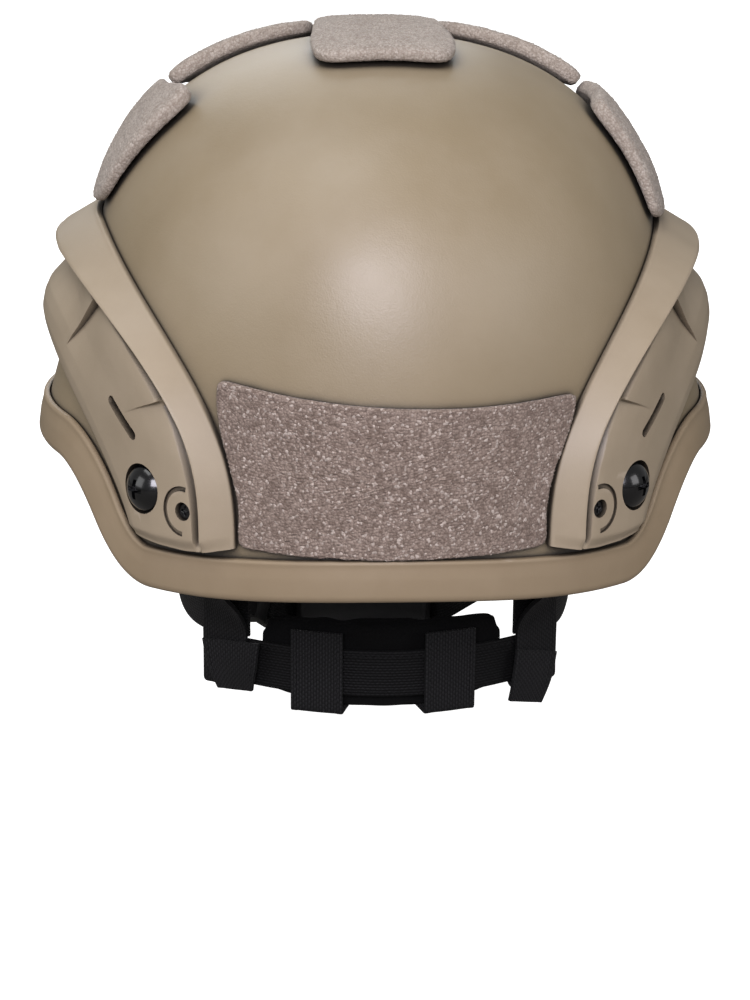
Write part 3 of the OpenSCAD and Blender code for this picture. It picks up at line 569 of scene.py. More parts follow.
def webbingFinish(name, **spec):
    material, tree, shader, place = startMaterial(name)
    cloth = addNode(tree, "ShaderNodeAttribute", attribute_name="cloth").outputs["Vector"]
    weave = placeGroup(tree, "weave", {"Vector": cloth, "Column": spec["column"], "Float": spec["float"]})
    dust = placeGroup(tree, "dust", {"Vector": place, "Amount": spec["dust"]})["Mask"]
    # Painted light and shade: raised yarn lighter, the dips between darker
    base = layered(tree, spec["dark"], (weave["PaintedLight"], spec["light"]), (dust, spec["dustColour"]))
    rough = minus(tree, spec["roughness"], times(tree, weave["Height"], 0.18))
    feed(tree, shader, colour=base, roughness=rough, specular=0.2, sheen=spec["sheen"], sheenRoughness=0.45)
    addBump(tree, shader, weave["Height"], spec["depth"])
    return material


def pileFinish(name, **spec):
    material, tree, shader, place = startMaterial(name)
    pile = placeGroup(tree, "pile", {"Vector": place, "Curls": spec["curls"]})
    # Painted shade at each curl's root and painted glints on a few curls go into the colour
    base = layered(tree, spec["dark"], (spread(tree, pile["Tint"]), spec["light"]),
                   (times(tree, pile["Root"], spec["rootDepth"]), spec["rootColour"]),
                   (times(tree, pile["Sparkle"], spec["sparkle"]), spec["sparkleColour"]))
    rough = plus(tree, 0.78, times(tree, pile["Root"], 0.2), clamp=True)
    feed(tree, shader, colour=base, roughness=rough, sheen=0.1)
    addBump(tree, shader, pile["Height"], spec["depth"])
    return material


def suedeFinish(name, **spec):
    material, tree, shader, place = startMaterial(name)
    nap = placeGroup(tree, "nap", {"Vector": place, "Fibre Scale": 2000.0})
    dust = placeGroup(tree, "dust", {"Vector": place, "Amount": spec["dust"]})["Mask"]
    base = layered(tree, spec["dark"], (nap["Lay"], spec["light"]),
                   (times(tree, nap["Height"], 0.35), spec["tip"]), (dust, spec["dustColour"]))
    rough = plus(tree, 0.82, times(tree, nap["Lay"], 0.12))
    feed(tree, shader, colour=base, roughness=rough, specular=0.12, sheen=spec["sheen"])
    addBump(tree, shader, nap["Height"], 0.00025)
    return material


def metalFinish(name, **spec):
    material, tree, shader, place = startMaterial(name)
    grain = placeGroup(tree, "grain",
                       {"Vector": place, "Fine Scale": spec["grainScale"], "Broad Scale": 90.0})
    wear = placeGroup(tree, "wear", {"Vector": place, "Start": 0.56})
    edge = times(tree, wear["Edge"], spec["wear"])
    base = layered(tree, spec["dark"], (spread(tree, grain["Mottle"]), spec["light"]),
                   (edge, spec["wornColour"]))
    rough = spread(tree, grain["Mottle"], spec["roughness"] * 0.8, spec["roughness"] * 1.25)
    bare = addMaths(tree, "MAXIMUM", spec["metallic"], edge)
    feed(tree, shader, colour=base, roughness=rough, metallic=bare, coat=spec.get("coat", 0.0),
         coatRoughness=0.08)
    addBump(tree, shader, grain["Height"], spec["grainDepth"])
    return material


# The crevice colour is painted shade; the worn colour lightens sharp edges as wear
tanWearAndShade = dict(creviceShade=(24, 20, 16), grimeColour=(104, 88, 68), wornColour=(203, 188, 168))
shellPaint = mouldedFinish("tan_shell_paint",
    **tanWearAndShade, dark=(145, 129, 101), light=(153, 137, 109), roughness=0.47, grainScale=1500.0,
    creviceReach=0.014, creviceStart=0.92, specular=0.95, grainDepth=0.00006, mottleScale=22.0,
    dust=0.1)
rimRubber = mouldedFinish("tan_rim_rubber",
    **tanWearAndShade, dark=(147, 129, 103), light=(155, 137, 111), roughness=0.5, grainScale=2100.0,
    grainDepth=0.00002, dust=0.05, wear=0.25)
railPlastic = mouldedFinish("tan_rail_plastic",
    **tanWearAndShade, dark=(159, 144, 121), light=(168, 153, 130), roughness=0.47, grainScale=1900.0,
    grainDepth=0.00003, dust=0.06)
loopPile = pileFinish("tan_loop_pile",
    dark=(124, 107, 96), light=(160, 143, 131), rootColour=(96, 81, 71), rootDepth=0.5,
    sparkle=0.6, sparkleColour=(214, 201, 190), curls=1150.0, depth=0.0004)
stripPile = pileFinish("tan_strip_pile",
    dark=(158, 146, 134), light=(184, 173, 161), rootColour=(126, 113, 101), rootDepth=0.4,
    sparkle=0.4, sparkleColour=(212, 203, 192), curls=1250.0, depth=0.0003)
hookBlack = pileFinish("black_hook_tape",
    dark=(15, 15, 16), light=(40, 40, 42), rootColour=(7, 7, 7), rootDepth=0.6,
    sparkle=0.3, sparkleColour=(74, 74, 76), curls=900.0, depth=0.0005)
greyDust, darkDust, plasticDust = (84, 79, 72), (70, 66, 60), (92, 86, 78)
blackWebbing = webbingFinish("black_webbing",
    dark=(8, 8, 9), light=(32, 32, 33), dustColour=greyDust, dust=0.02, column=0.0011,
    float=0.0018, roughness=0.7, sheen=0.03, depth=0.00024)
bandWebbing = webbingFinish("black_band_webbing",
    dark=(3, 3, 3), light=(15, 15, 16), dustColour=darkDust, dust=0.015, column=0.0011,
    float=0.0018, roughness=0.8, sheen=0.01, depth=0.00022)
blackThread = webbingFinish("black_thread",
    dark=(20, 20, 21), light=(48, 48, 50), dustColour=greyDust, dust=0.02, column=0.0003,
    float=0.0005, roughness=0.6, sheen=0.05, depth=0.00005)
padSuede = suedeFinish("black_pad_suede",
    dark=(11, 11, 12), light=(19, 19, 20), tip=(32, 31, 31), dustColour=greyDust, dust=0.03,
    sheen=0.1)
napeSuede = suedeFinish("black_nape_suede",
    dark=(4, 4, 4), light=(10, 10, 11), tip=(18, 18, 18), dustColour=darkDust, dust=0.015,
    sheen=0.02)
blackPlastic = mouldedFinish("black_buckle_plastic",
    dark=(18, 18, 19), light=(25, 25, 26), roughness=0.42, grainScale=2600.0,
    grainDepth=0.00002, grimeColour=(10, 10, 10), wornColour=(58, 57, 56), dustColour=plasticDust,
    dust=0.04, wear=0.5)
cupRubber = mouldedFinish("black_cup_rubber",
    dark=(21, 21, 22), light=(29, 29, 30), roughness=0.62, grainScale=1300.0,
    grainDepth=0.00006, grimeColour=(11, 11, 11), wornColour=(50, 49, 48), dustColour=plasticDust,
    dust=0.06, wear=0.3)
boltBlack = metalFinish("black_bolt_enamel",
    dark=(5, 5, 6), light=(10, 10, 11), wornColour=(52, 52, 54), roughness=0.2, metallic=0.0,
    wear=0.2, grainScale=900.0, grainDepth=0.000006, coat=0.6)
nutSteel = metalFinish("zinc_nut_steel",
    dark=(150, 150, 152), light=(178, 178, 180), wornColour=(205, 205, 206), roughness=0.32,
    metallic=1.0, wear=0.4, grainScale=1200.0, grainDepth=0.00001)
print("finishes made")


# Profiles and patches
def squircle(a, n):
    c, s = cosd(a), sind(a)
    return column((np.abs(c) ** n + np.abs(s) ** n) ** (-1 / n)) * np.stack([c, s], -1)


def roundCorners(outline, radius, steps=3):
    corners = np.asarray(outline, float)
    rounded = []
    for i, corner in enumerate(corners):
        arms = [corners[i - 1] - corner, corners[(i + 1) % len(corners)] - corner]
        start, end = [corner + arm * min(radius / max(np.linalg.norm(arm), 1e-6), 0.48) for arm in arms]
        for t in np.linspace(0, 1, steps + 1):
            rounded.append((1 - t) ** 2 * start + 2 * t * (1 - t) * corner + t * t * end)
    return np.array(rounded)


def patchRings(place, profile, power, around):
    angles = ringAngles(around)
    shape = squircle(angles, power)
    return np.array([place(reach * shape[:, 0], reach * shape[:, 1], np.full(around, float(h)))
                     for reach, h in profile])


def shellRing(stop, off):
    s, phi = shellSizes, ringAngles(shellSizes["around"])
    if stop <= 1:
        rho = sind(s["crownTurn"] * stop) ** (2 / s["power"]) * planRadius(phi)
        return crown(rho * cosd(phi), rho * sind(phi), off)
    sideTop = s["waist"] + s["dome"] * cosd(s["crownTurn"]) ** (2 / s["power"])
    return side(phi, mix(sideTop, rimHeight(phi), stop - 1), off)


def buildShell():
    s = shellSizes
    sideStops = 1 + np.arange(1, s["sideRows"] + 1) / s["sideRows"]
    outer = np.concatenate([np.linspace(0.02, 1, s["crownRows"]), sideStops])
    inner = np.concatenate([np.linspace(2, 1, s["innerRows"]), np.linspace(0.95, 0.03, s["innerRows"])])
    rings = [shellRing(stop, 0) for stop in outer] + [shellRing(stop, -s["wall"]) for stop in inner]
    newPiece("shell_body", [loft(np.array(rings))], [shellPaint], "shell", ["shell"])


buildShell()

# The channel round the rim, as height over the rim and distance off the shell
trimSizes = {"height": 13.5, "thick": 2.1, "gap": 0.3, "bead": 0.35, "around": 480}


def buildTrim():
    t, g, h = trimSizes["thick"], trimSizes["gap"], trimSizes["height"]
    wall = shellSizes["wall"]
    inner = -wall - g
    outline = [(h, g), (h, g + 0.55 * t), (h - 0.9, g + t + trimSizes["bead"]), (h - 2.6, g + t),
               (h / 2, g + t + 0.2), (0, g + t), (-0.8 * t, g + 0.5 * t), (-g - t, -wall / 2),
               (-0.8 * t, inner - 0.5 * t), (0, inner - t), (0.65 * h, inner - 0.8 * t), (0.7 * h, inner),
               (-g - 0.1, inner), (-g - 0.1, g)]
    shape = roundCorners(outline, 1.0)
    phi = ringAngles(trimSizes["around"])
    rings = np.stack([rimPoint(phi, height, off) for height, off in shape], 1)
    newPiece("rim_edging", [loft(rings, closed=True)], [rimRubber], "edge_trim", ["edge_trim"])


buildTrim()
print("shell and rim built")

railSizes = {
    "height": 9.5, "bulge": 6.5, "groove": 2.8, "rearBase": 20, "rearStep": 4, "frontBase": 50, "top": 119.4,
    "ridges": [(33, 2.5, 12, 0.2), (58, 3.6, 26, 0.5)], "panelStart": 0.36,
    "endBow": (1.6, 2.8, 3.3, 2.5, 0.6), "across": 45, "rounding": 0.6, "edgeSpans": (65.5, 59),
    "grooveSpans": (61.2, 55.5), "grooveDrop": 13.3, "lowSpans": (45.5, 43), "lowRise": 10.7,
    "slotLength": 20, "slotWidth": 3.6, "slotPlace": (44.4, 60.8), "slotTurn": 36,
    "boltRear": (49.1, 37.5), "boltFront": (-50.5, 66), "boltWidth": 16.8,
    "screwRear": (58, 33.7), "screwFront": (-44.5, 57), "screwWidth": 6, "screwShank": 1.6, "boltShank": 2.8,
    "crescent": (7.2, 9, 80, 190), "crescentDepth": 1.8, "frontSlotRise": 14,
}
boltSeat = railSizes["height"] - 3


def archPoint(a, spans, step, top, power, soft=60):
    q = squircle(a, power)
    rear = a <= 90
    base = np.where(rear, railSizes["rearBase"] + step, railSizes["frontBase"])
    span = np.where(rear, *spans)
    rise = (q[..., 1] - q[..., 1] ** soft / soft) / (1 - 1 / soft)
    return np.stack([span * q[..., 0], base + (top - base) * rise], -1)


def railPlace(a, w):
    r = railSizes
    edge = archPoint(a, r["edgeSpans"], r["rearStep"], r["top"], 2.2)
    groove = archPoint(a, r["grooveSpans"], 0.8 * r["rearStep"], r["top"] - r["grooveDrop"], 2.65)
    low = archPoint(a, r["lowSpans"], 0, shellSizes["waist"] + r["lowRise"], 1.33, 6)
    spot = mix(edge, groove, w / 0.3) if w < 0.3 else mix(groove, low, (w - 0.3) / 0.7)
    bow = float(np.interp(w, [0, 0.2, 0.45, 0.7, 1], r["endBow"]))
    return spot - vec(0, bow * (1 - smooth(0, 14, a)))


def railRecess(a, w):
    fold = min(a, 180 - a)
    depths = [0.0]
    for station, drop, back, reach in railSizes["ridges"]:
        d = station - fold
        if 0 < d < back:
            inside = float(clip01(1 - (w - railSizes["panelStart"]) / reach))
            depths.append(drop * (1 - d / back) * inside)
    return max(depths)


def railProfile(a):
    r, fold = railSizes, min(a, 180 - a)
    s, end = max(0, float(sind(a))) ** 1.5, float(smooth(0, 3, fold))
    bridge = min(float(smooth(0, 1, abs(fold - ridge[0]))) for ridge in r["ridges"])
    base = r["height"] - 2 * (1 - end)
    band, lip, swell, start = base + 5.5 * s, base - 0.7 - 2.5 * s, r["bulge"] * s, r["panelStart"]
    raised = max(0, band - lip - 0.8) * (1 - float(smooth(48, 72, fold)))
    floor = lip + raised - 0.6 * railRecess(a, start) - r["groove"] * end * bridge
    face = [(w, lip + share * swell + lift * raised - railRecess(a, w)) for w, share, lift in (
        (start, 0, 1), (0.43, 0.08, 0.96), (0.5, 0.22, 0.82), (0.6, 0.58, 0.45), (0.7, 0.9, 0.15))]
    outline = [(0, 0.3), (0, 2.4), (0.03, 3.2), (0.27, band - 0.5), (0.3, band), (0.31, floor),
               (0.345, floor), *face, (0.8, lip - 0.2 + swell), (0.9, lip - 0.5 + 0.95 * swell),
               (0.97, lip - 1.5 + 0.85 * swell), (1, lip - 2.7 + 0.7 * swell), (1, 2.8),
               (0.965, 0.3), (0.75, 0.3), (0.5, 0.3), (0.25, 0.3)]
    wide = vec(r["across"], 1)
    return roundCorners(np.array(outline) * wide, r["rounding"], 2) / wide


def railStops():
    near = [r[0] + d for r in railSizes["ridges"] for d in (-1.2, -0.8, -0.5, -0.25, -0.02, 0.3, 0.6, 1)]
    half = sorted({*near, *np.round(np.linspace(0, 3, 9), 3).tolist(), *np.arange(4, 90, 1.5).tolist()})
    return [*half, 90.0, *(180 - stop for stop in reversed(half))]


# Parts may overlap one another, so each takes its own turn
def combine(piece, parts, operation="DIFFERENCE"):
    for points, faces in parts:
        mesh = bpy.data.meshes.new("tool")
        mesh.from_pydata(overSeat(points).tolist(), [], faces)
        tool = addObject("tool", mesh)
        modifier = piece.modifiers.new("combine", "BOOLEAN")
        modifier.operation, modifier.object, modifier.solver = operation, tool, "EXACT"
        bakeModifiers(piece, 30)
        bpy.data.objects.remove(tool)


# A post turned from a list of radius and height, standing in a frame
def lathe(place, outline, around):
    angles = ringAngles(around)
    rings = [inFrame(xyz(r * cosd(angles), r * sind(angles), z), place) for r, z in outline]
    return loft(np.array(rings))


# A narrow bore with a wider seat over it, square to the shell
def boredHole(place, bore, seat, wide, top, around=36):
    return lathe(shellFrame(place), [(bore, -1), (bore, seat), (wide, seat), (wide, top)], around)


# A closed outline in the frame's face, drawn out along its normal
def extrude(place, outline, low, high):
    flat = np.asarray(outline, float)
    rings = [inFrame(xyz(flat[:, 0], flat[:, 1], z), place) for z in (low, high)]
    return loft(np.array(rings))


def slotOutline(length, width, turn, steps=10):
    angles = np.concatenate([np.linspace(-90, 90, steps), np.linspace(90, 270, steps)])
    ends = np.repeat([(length - width) / 2, -(length - width) / 2], steps)
    x, y = ends + width / 2 * cosd(angles), width / 2 * sind(angles)
    return np.stack([x * cosd(turn) - y * sind(turn), x * sind(turn) + y * cosd(turn)], -1)


def crescentOutline(inner, outer, start, sweep, steps=28):
    out, back = np.linspace(start, start + sweep, steps), np.linspace(start + sweep, start, steps)
    return np.concatenate([np.stack([outer * cosd(out), outer * sind(out)], -1),
                           np.stack([inner * cosd(back), inner * sind(back)], -1)])


def railCutters():
    r = railSizes
    parts = [boredHole(r[key], r["boltShank"], boltSeat, r["boltWidth"] / 2 + 0.6, 30, 56)
             for key in ("boltRear", "boltFront")]
    parts += [boredHole(r[key], r["screwShank"], 0.6 * r["height"], r["screwWidth"] / 2 + 0.3, 30)
              for key in ("screwRear", "screwFront")]
    crescent = crescentOutline(*r["crescent"])
    parts.append(extrude(shellFrame(r["screwRear"]), crescent, r["height"] - r["crescentDepth"], 20))
    front = (-r["slotPlace"][0], r["slotPlace"][1] + r["frontSlotRise"])
    for place, turn in ((r["slotPlace"], -r["slotTurn"]), (front, r["slotTurn"])):
        parts.append(extrude(shellFrame(place), slotOutline(r["slotLength"], r["slotWidth"], turn), 2, 30))
    return parts


def flipped(parts):
    return [(mirrored(points), [tuple(reversed(face)) for face in faces], *rest)
            for points, faces, *rest in parts]


def buildRails():
    rings = []
    for stop in railStops():
        outline = railProfile(stop)
        spots = np.array([railPlace(np.array(stop), w) for w in outline[:, 0]])
        rings.append(side(spots[:, 0], spots[:, 1], outline[:, 1]))
    body = [loft(np.array(rings))]
    for name, mirror in bothSides:
        parts, cutters = body, railCutters()
        if mirror:
            parts, cutters = flipped(parts), flipped(cutters)
        rail = newPiece("rail_" + name + "_body", parts, [railPlastic], "rail", ["rail_" + name])
        combine(rail, cutters)


buildRails()
print("rails built")


# Domed bolts with a cross recess
boltSizes = {"shank": 5, "dome": 4.4, "skirt": 1.7, "recess": 1.7, "recessLength": 7, "recessFloor": 3.4}


def domeOutline(width, dome, foot, steps=12):
    radius = ((width / 2) ** 2 + dome ** 2) / (2 * dome)
    widest = degrees(np.arcsin((width / 2 - 0.05) / radius))
    angles = np.linspace(widest, 1.5, steps)
    return [(radius * float(sind(a)), foot + dome - radius + radius * float(cosd(a))) for a in angles]


def rectangle(half, low, high):
    return [(-half, low), (half, low), (half, high), (-half, high)]


def crossCutter(place):
    w, l, floor = boltSizes["recess"] / 2, boltSizes["recessLength"] / 2, boltSeat + boltSizes["recessFloor"]
    return extrude(place, [(-w, -l), (w, -l), (w, -w), (l, -w), (l, w), (w, w), (w, l), (-w, l), (-w, w),
                           (-l, w), (-l, -w), (-w, -w)], floor, floor + 5.6)


def buildBolts():
    wide, shank = railSizes["boltWidth"] / 2, boltSizes["shank"] / 2 - 0.1
    foot, brow = boltSeat + 0.1, boltSeat + boltSizes["skirt"]
    outline = [(shank, -10.1), (shank, foot), (wide - 0.35, foot), (wide - 0.05, boltSeat + 0.4),
               (wide - 0.05, brow - 0.1), *domeOutline(2 * wide, boltSizes["dome"], brow)]
    places = [shellFrame(railSizes[key]) for key in ("boltRear", "boltFront")]
    bodies = [lathe(place, outline, 72) for place in places]
    cutters = [crossCutter(place) for place in places]
    bolts = newPiece("rail_bolt_heads", bodies + flipped(bodies), [boltBlack], "black_metal",
                     ["rail_bolts"], 30)
    combine(bolts, cutters + flipped(cutters))


buildBolts()


# Rigid CAD parts keep their shape, and get rounded edges
def soften(node, name, material, body, slot, width):
    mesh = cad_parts[node].data.copy()
    mesh.name = name
    if "custom_normal" in mesh.attributes:
        mesh.attributes.remove(mesh.attributes["custom_normal"])
    shape = bmesh.new()
    shape.from_mesh(mesh)
    bmesh.ops.remove_doubles(shape, verts=shape.verts, dist=0.000002)
    bmesh.ops.dissolve_limit(shape, angle_limit=radians(1.5), verts=shape.verts, edges=shape.edges)
    shape.to_mesh(mesh)
    shape.free()
    mesh.materials.clear()
    mesh.materials.append(material)
    mesh.polygons.foreach_set("material_index", [0] * len(mesh.polygons))
    piece = addObject(name, mesh)
    bevel = piece.modifiers.new("edges", "BEVEL")
    bevel.width, bevel.segments = width * millimetre, 2
    bevel.limit_method, bevel.angle_limit = "ANGLE", radians(32)
    bakeModifiers(piece, 40)
    return finishPiece(piece, body, slot, [node])


softened = [
    ("bolt_washers", "washer_rings", cupRubber, "helmet", "black_plastic", 0.4),
    ("bolt_nuts", "barrel_nuts", nutSteel, "helmet", "steel", 0.25),
    ("strap_tabs", "strap_tab_plates", boltBlack, "helmet", "black_metal", 0.25),
    ("rail_screws", "rail_screw_set", boltBlack, "helmet", "black_metal", 0.2),
    ("shroud_screws", "shroud_screw_set", boltBlack, "helmet", "black_metal", 0.2),
    *((f"junction_{name}", f"junction_ring_{name}", blackPlastic, "helmet", "black_plastic", 0.2)
      for name, _ in bothSides),
    ("buckle_socket", "buckle_socket_shell", blackPlastic, "socket", "black_plastic", 0.5),
    ("buckle_plug", "buckle_plug_body", blackPlastic, "helmet", "black_plastic", 0.4),
    ("buckle_prong_upper", "buckle_prong_a", blackPlastic, "prong_upper", "black_plastic", 0.3),
    ("buckle_prong_lower", "buckle_prong_b", blackPlastic, "prong_lower", "black_plastic", 0.3),
    ("chin_adjuster", "chin_slide_bars", blackPlastic, "chin_slide", "black_plastic", 0.3),
    *((f"{part}_adjuster_{name}", f"{part}_slide_bars_{name}", blackPlastic, f"{part}_slide_{name}",
       "black_plastic", 0.3) for part in ("nape", "front") for name, _ in bothSides),
]
for node, name, material, body, slot, width in softened:
    soften(node, name, material, body, slot, width)
print("hardware softened")

# The front plate that takes a mount
shroudSizes = {"middle": (-90, 86), "thick": 4.2, "boss": (13, -12, 14), "face": 9.5, "pocket": (8.5, -13, 9),
               "pocketFloor": 4.6, "lockWidth": 5, "screwSeat": 2.2, "halfAngle": 10.5, "halfHeight": 27,
               "holes": [(-90, 105), (-84.5, 70), (-95.5, 70)]}


def buildShroud():
    s = shroudSizes

    def place(u, v, h):
        return side(-90 + s["halfAngle"] * u * (1 - 0.12 * v), 87 + s["halfHeight"] * v, h)

    t = s["thick"]
    profile = [(0.3, 0.3), (0.65, 0.3), (0.97, 0.3), (1, 0.9), (1, t - 1.1), (0.99, t - 0.4), (0.97, t - 0.1),
               (0.94, t), (0.8, t), (0.6, t), (0.3, t), (0.1, t)]
    plate = loft(patchRings(place, profile, 5, 96))
    origin = skin(*s["middle"])
    stand = (origin, vec(0, 0, 1), vec(0, -1, 0))
    shroud = newPiece("mount_shroud", [plate], [blackPlastic], "black_plastic", ["shroud"], 35)
    boss = roundCorners(rectangle(*s["boss"]), 2, 5)
    combine(shroud, [extrude(stand, boss, 2, s["face"])], "UNION")
    lock, wide = s["lockWidth"] / 2, railSizes["screwWidth"] / 2 + 0.3
    cutters = [extrude(stand, rectangle(*s["pocket"]), s["pocketFloor"], 12),
               lathe(stand, [(lock, 0.9), (lock, 6)], 40)]
    cutters += [boredHole(hole, railSizes["screwShank"], s["screwSeat"], wide, 12) for hole in s["holes"]]
    combine(shroud, cutters)


buildShroud()

# Loop patches: closed skins whose top is raised by noise, as pile is
loopSizes = {"rearThick": 2.4, "stripThick": 6.4, "gap": 0.3, "pile": 0.7,
             "waves": ((1.0, 0.5), (0.55, 0.35), (9.0, 0.25), (22.0, 0.35)), "rearMiddle": 50,
             "rearHalfHeight": 27, "topHalf": (26.9, 55), "topMiddle": -8,
             "frontCorners": [(19.2, -90), (62, -78), (77.2, -17), (23, -38)]}


def pileNoise(points, seed):
    random = np.random.default_rng(seed)
    waves = np.zeros(len(points))
    for size, weight in loopSizes["waves"]:
        for _ in range(7):
            direction = unit(random.normal(size=3))
            waves += weight / 7 * 2.2 * np.sin(points @ direction * 2 * pi / size + random.uniform(0, 2 * pi))
    return waves


def fineProfile(profile, step):
    dense = [profile[0]]
    for (r0, h0), (r1, h1) in zip(profile, profile[1:]):
        count = max(1, int(round(abs(r1 - r0) / step)))
        dense += [(mix(r0, r1, k / count), mix(h0, h1, k / count)) for k in range(1, count + 1)]
    return dense


def buildLoopPatch(name, node, place, thick, power, around, step, seed, mirror=False):
    gap, cushioned = loopSizes["gap"], thick > 4
    if cushioned:
        profile = [(0.35, gap), (0.72, gap), (0.9, gap + 0.12 * thick), (0.985, 0.28 * thick),
                   (1.0, 0.45 * thick), (1.0, thick - 1.7), (0.99, thick - 0.9), (0.965, thick - 0.35),
                   (0.93, thick), (0.72, thick + gap), (0.03, thick + gap)]
    else:
        profile = [(0.25, gap), (0.5, gap), (0.99, gap), (1.0, gap + 0.4), (1.0, thick - 0.5), (0.993, thick),
                   (0.98, thick + gap), (0.03, thick + gap)]
    profile = fineProfile(profile, step)
    points, faces = loft(patchRings(place, profile, power, around))
    over = pileNoise(points, seed)
    mesh = bpy.data.meshes.new("ground")
    mesh.from_pydata(points.tolist(), [], faces)
    outward = vertexValues(mesh, "normal") * np.sign(volumeOf(points - points.mean(0), faces))
    height = np.concatenate([np.repeat([h for _, h in profile], around), [gap, thick + gap]])
    raised = column(smooth(gap + 0.3, gap + 0.45 * thick + 0.5, height) * over * loopSizes["pile"] * 0.5)
    bpy.data.meshes.remove(mesh)
    parts = [(points + outward * raised, faces)]
    if mirror:
        parts = flipped(parts)
    piece = newPiece(name, parts, [stripPile if cushioned else loopPile], "loop", [node], 60)


def quad(corners, u, v):
    a, b, c, d = np.array(corners, float)
    u, v = column(u), column(v)
    return ((1 - u) * (1 - v) * a + (1 + u) * (1 - v) * b + (1 + u) * (1 + v) * c + (1 - u) * (1 + v) * d) / 4


def rearPlace(u, v, h):
    wide = 23.9 + 4.3 * smooth(-0.6, 0.8, v) + 1.6 * np.maximum(0, u) * np.maximum(0, v)
    height = loopSizes["rearMiddle"] + loopSizes["rearHalfHeight"] * v
    return side(90 + wide * u, height + np.where(v > 0, v * (2.5 * u * u - 1.2 - 3 * u), 0), h)


def thicker(h, k):
    return loopSizes["gap"] + (h - loopSizes["gap"]) * k


def topPlace(u, v, h):
    wide, deep = loopSizes["topHalf"]
    return crown(wide * u * (0.88 + 0.12 * v), loopSizes["topMiddle"] + deep * v, h)


def frontPlace(u, v, h):
    spot = quad(loopSizes["frontCorners"], u, v)
    return crown(spot[..., 0], spot[..., 1], thicker(h, 1 + 0.12 * u))


# The side strips follow the rail below and the dome above, each cut a little differently
sideCorners = {"left": [(-42, 122.3), (12, 122.3), (29.5, 165), (-22, 158.5)],
               "right": [(-42, 125.5), (23.5, 119.2), (22, 160), (-22, 158.5)]}


def sidePlacer(corners):
    def place(u, v, h):
        spot = quad(corners, u, v)
        return side(spot[..., 0], spot[..., 1], thicker(h, 1 + 0.2 * v))
    return place


buildLoopPatch("loop_patch_rear", "loop_panel_rear", rearPlace, loopSizes["rearThick"], 26, 480, 0.011, 3)
buildLoopPatch("loop_strip_top", "loop_panel_top", topPlace, loopSizes["stripThick"], 6, 340, 0.016, 4)
for name, mirror in bothSides:
    buildLoopPatch("loop_strip_front_" + name, "loop_panel_front_" + name, frontPlace,
                   1.12 * loopSizes["stripThick"], 7, 280, 0.02, 5 + mirror, mirror)
    buildLoopPatch("loop_strip_side_" + name, "loop_panel_side_" + name, sidePlacer(sideCorners[name]),
                   1.03 * loopSizes["stripThick"], 7, 340, 0.018, 7 + mirror, mirror)
print("bolts, shroud and loop patches built")

# Webbing: flat bands through stations of point and face normal
webWidth, webThick, webSpacing = 20, 1.5, 2.5
webRipples = ((5.5, 1.4), (9.0, -1.0), (14.0, 0.8))


def webSection(width):
    half, t = width / 2, webThick / 2
    across = [half, half - 0.15, half - 0.6, half - 2.2, half - 2.8, half * 0.4, 0]
    height = [0, t * 0.75, t, t, t - 0.1, t - 0.04, t]
    right = list(zip(across, height))
    top = right + [(-a, h) for a, h in reversed(right[:-1])]
    return np.array(top + [(a, -h) for a, h in reversed(top[1:-1])])


def resample(path, spacing):
    points, normals = [path[0][0]], [path[0][1]]
    for (p, n), (q, m) in zip(path, path[1:]):
        count = max(1, int(np.ceil(np.linalg.norm(q - p) / spacing)))
        for k in range(1, count + 1):
            points.append(mix(p, q, k / count))
            normals.append(mix(n, m, k / count))
    return np.array(points), np.array(normals)


def wayAlong(points):
    return np.concatenate([[0], np.cumsum(np.linalg.norm(np.diff(points, axis=0), axis=1))])


def webFrames(path, spacing):
    points, normals = resample([(np.asarray(p, float), np.asarray(n, float)) for p, n in path], spacing)
    ahead = np.vstack([points[1:], points[-1:]])
    behind = np.vstack([points[:1], points[:-1]])
    run = unit(ahead - behind)
    normals = square(normals, run)
    return points, normals, np.cross(run, normals), wayAlong(points)


def webbing(path, width, wave, seed, taper):
    section = webSection(width)
    points, normals, sides, lengths = webFrames(path, webSpacing)
    random = np.random.default_rng(seed)
    phases = random.uniform(0, 2 * pi, 3)
    ripple = sum(np.sin(lengths[:, None] / size + phases[i] + section[None, :, 0] / width * lean)
                 for i, (size, lean) in enumerate(webRipples)) / len(webRipples)
    fade = smooth(0, 12, lengths) * smooth(0, 12, lengths[-1] - lengths)
    ripple = ripple * fade[:, None] * wave
    wide = np.interp(lengths / lengths[-1], np.linspace(0, 1, len(taper)), taper)[:, None, None]
    rings = (points[:, None] + sides[:, None] * section[None, :, :1] * wide
             + normals[:, None] * (section[None, :, 1:] + ripple[..., None]))
    layers = np.stack([np.broadcast_to(section[:, 0], rings.shape[:2]),
                       np.broadcast_to(lengths[:, None], rings.shape[:2]),
                       np.broadcast_to(section[:, 1], rings.shape[:2])], -1).reshape(-1, 3)
    layers = np.vstack([layers, [[0, 0, 0], [0, lengths[-1], 0]]])
    return loft(rings), layers


# Stitches lie on the webbing's face, as short rounded threads
stitchSizes = {"length": 2.0, "gap": 0.9, "width": 0.42, "inset": 2.1, "bulge": (0.35, 0.9, 1, 0.9, 0.35),
               "lift": (-0.35, 0.15, 0.25, 0.15, -0.35)}


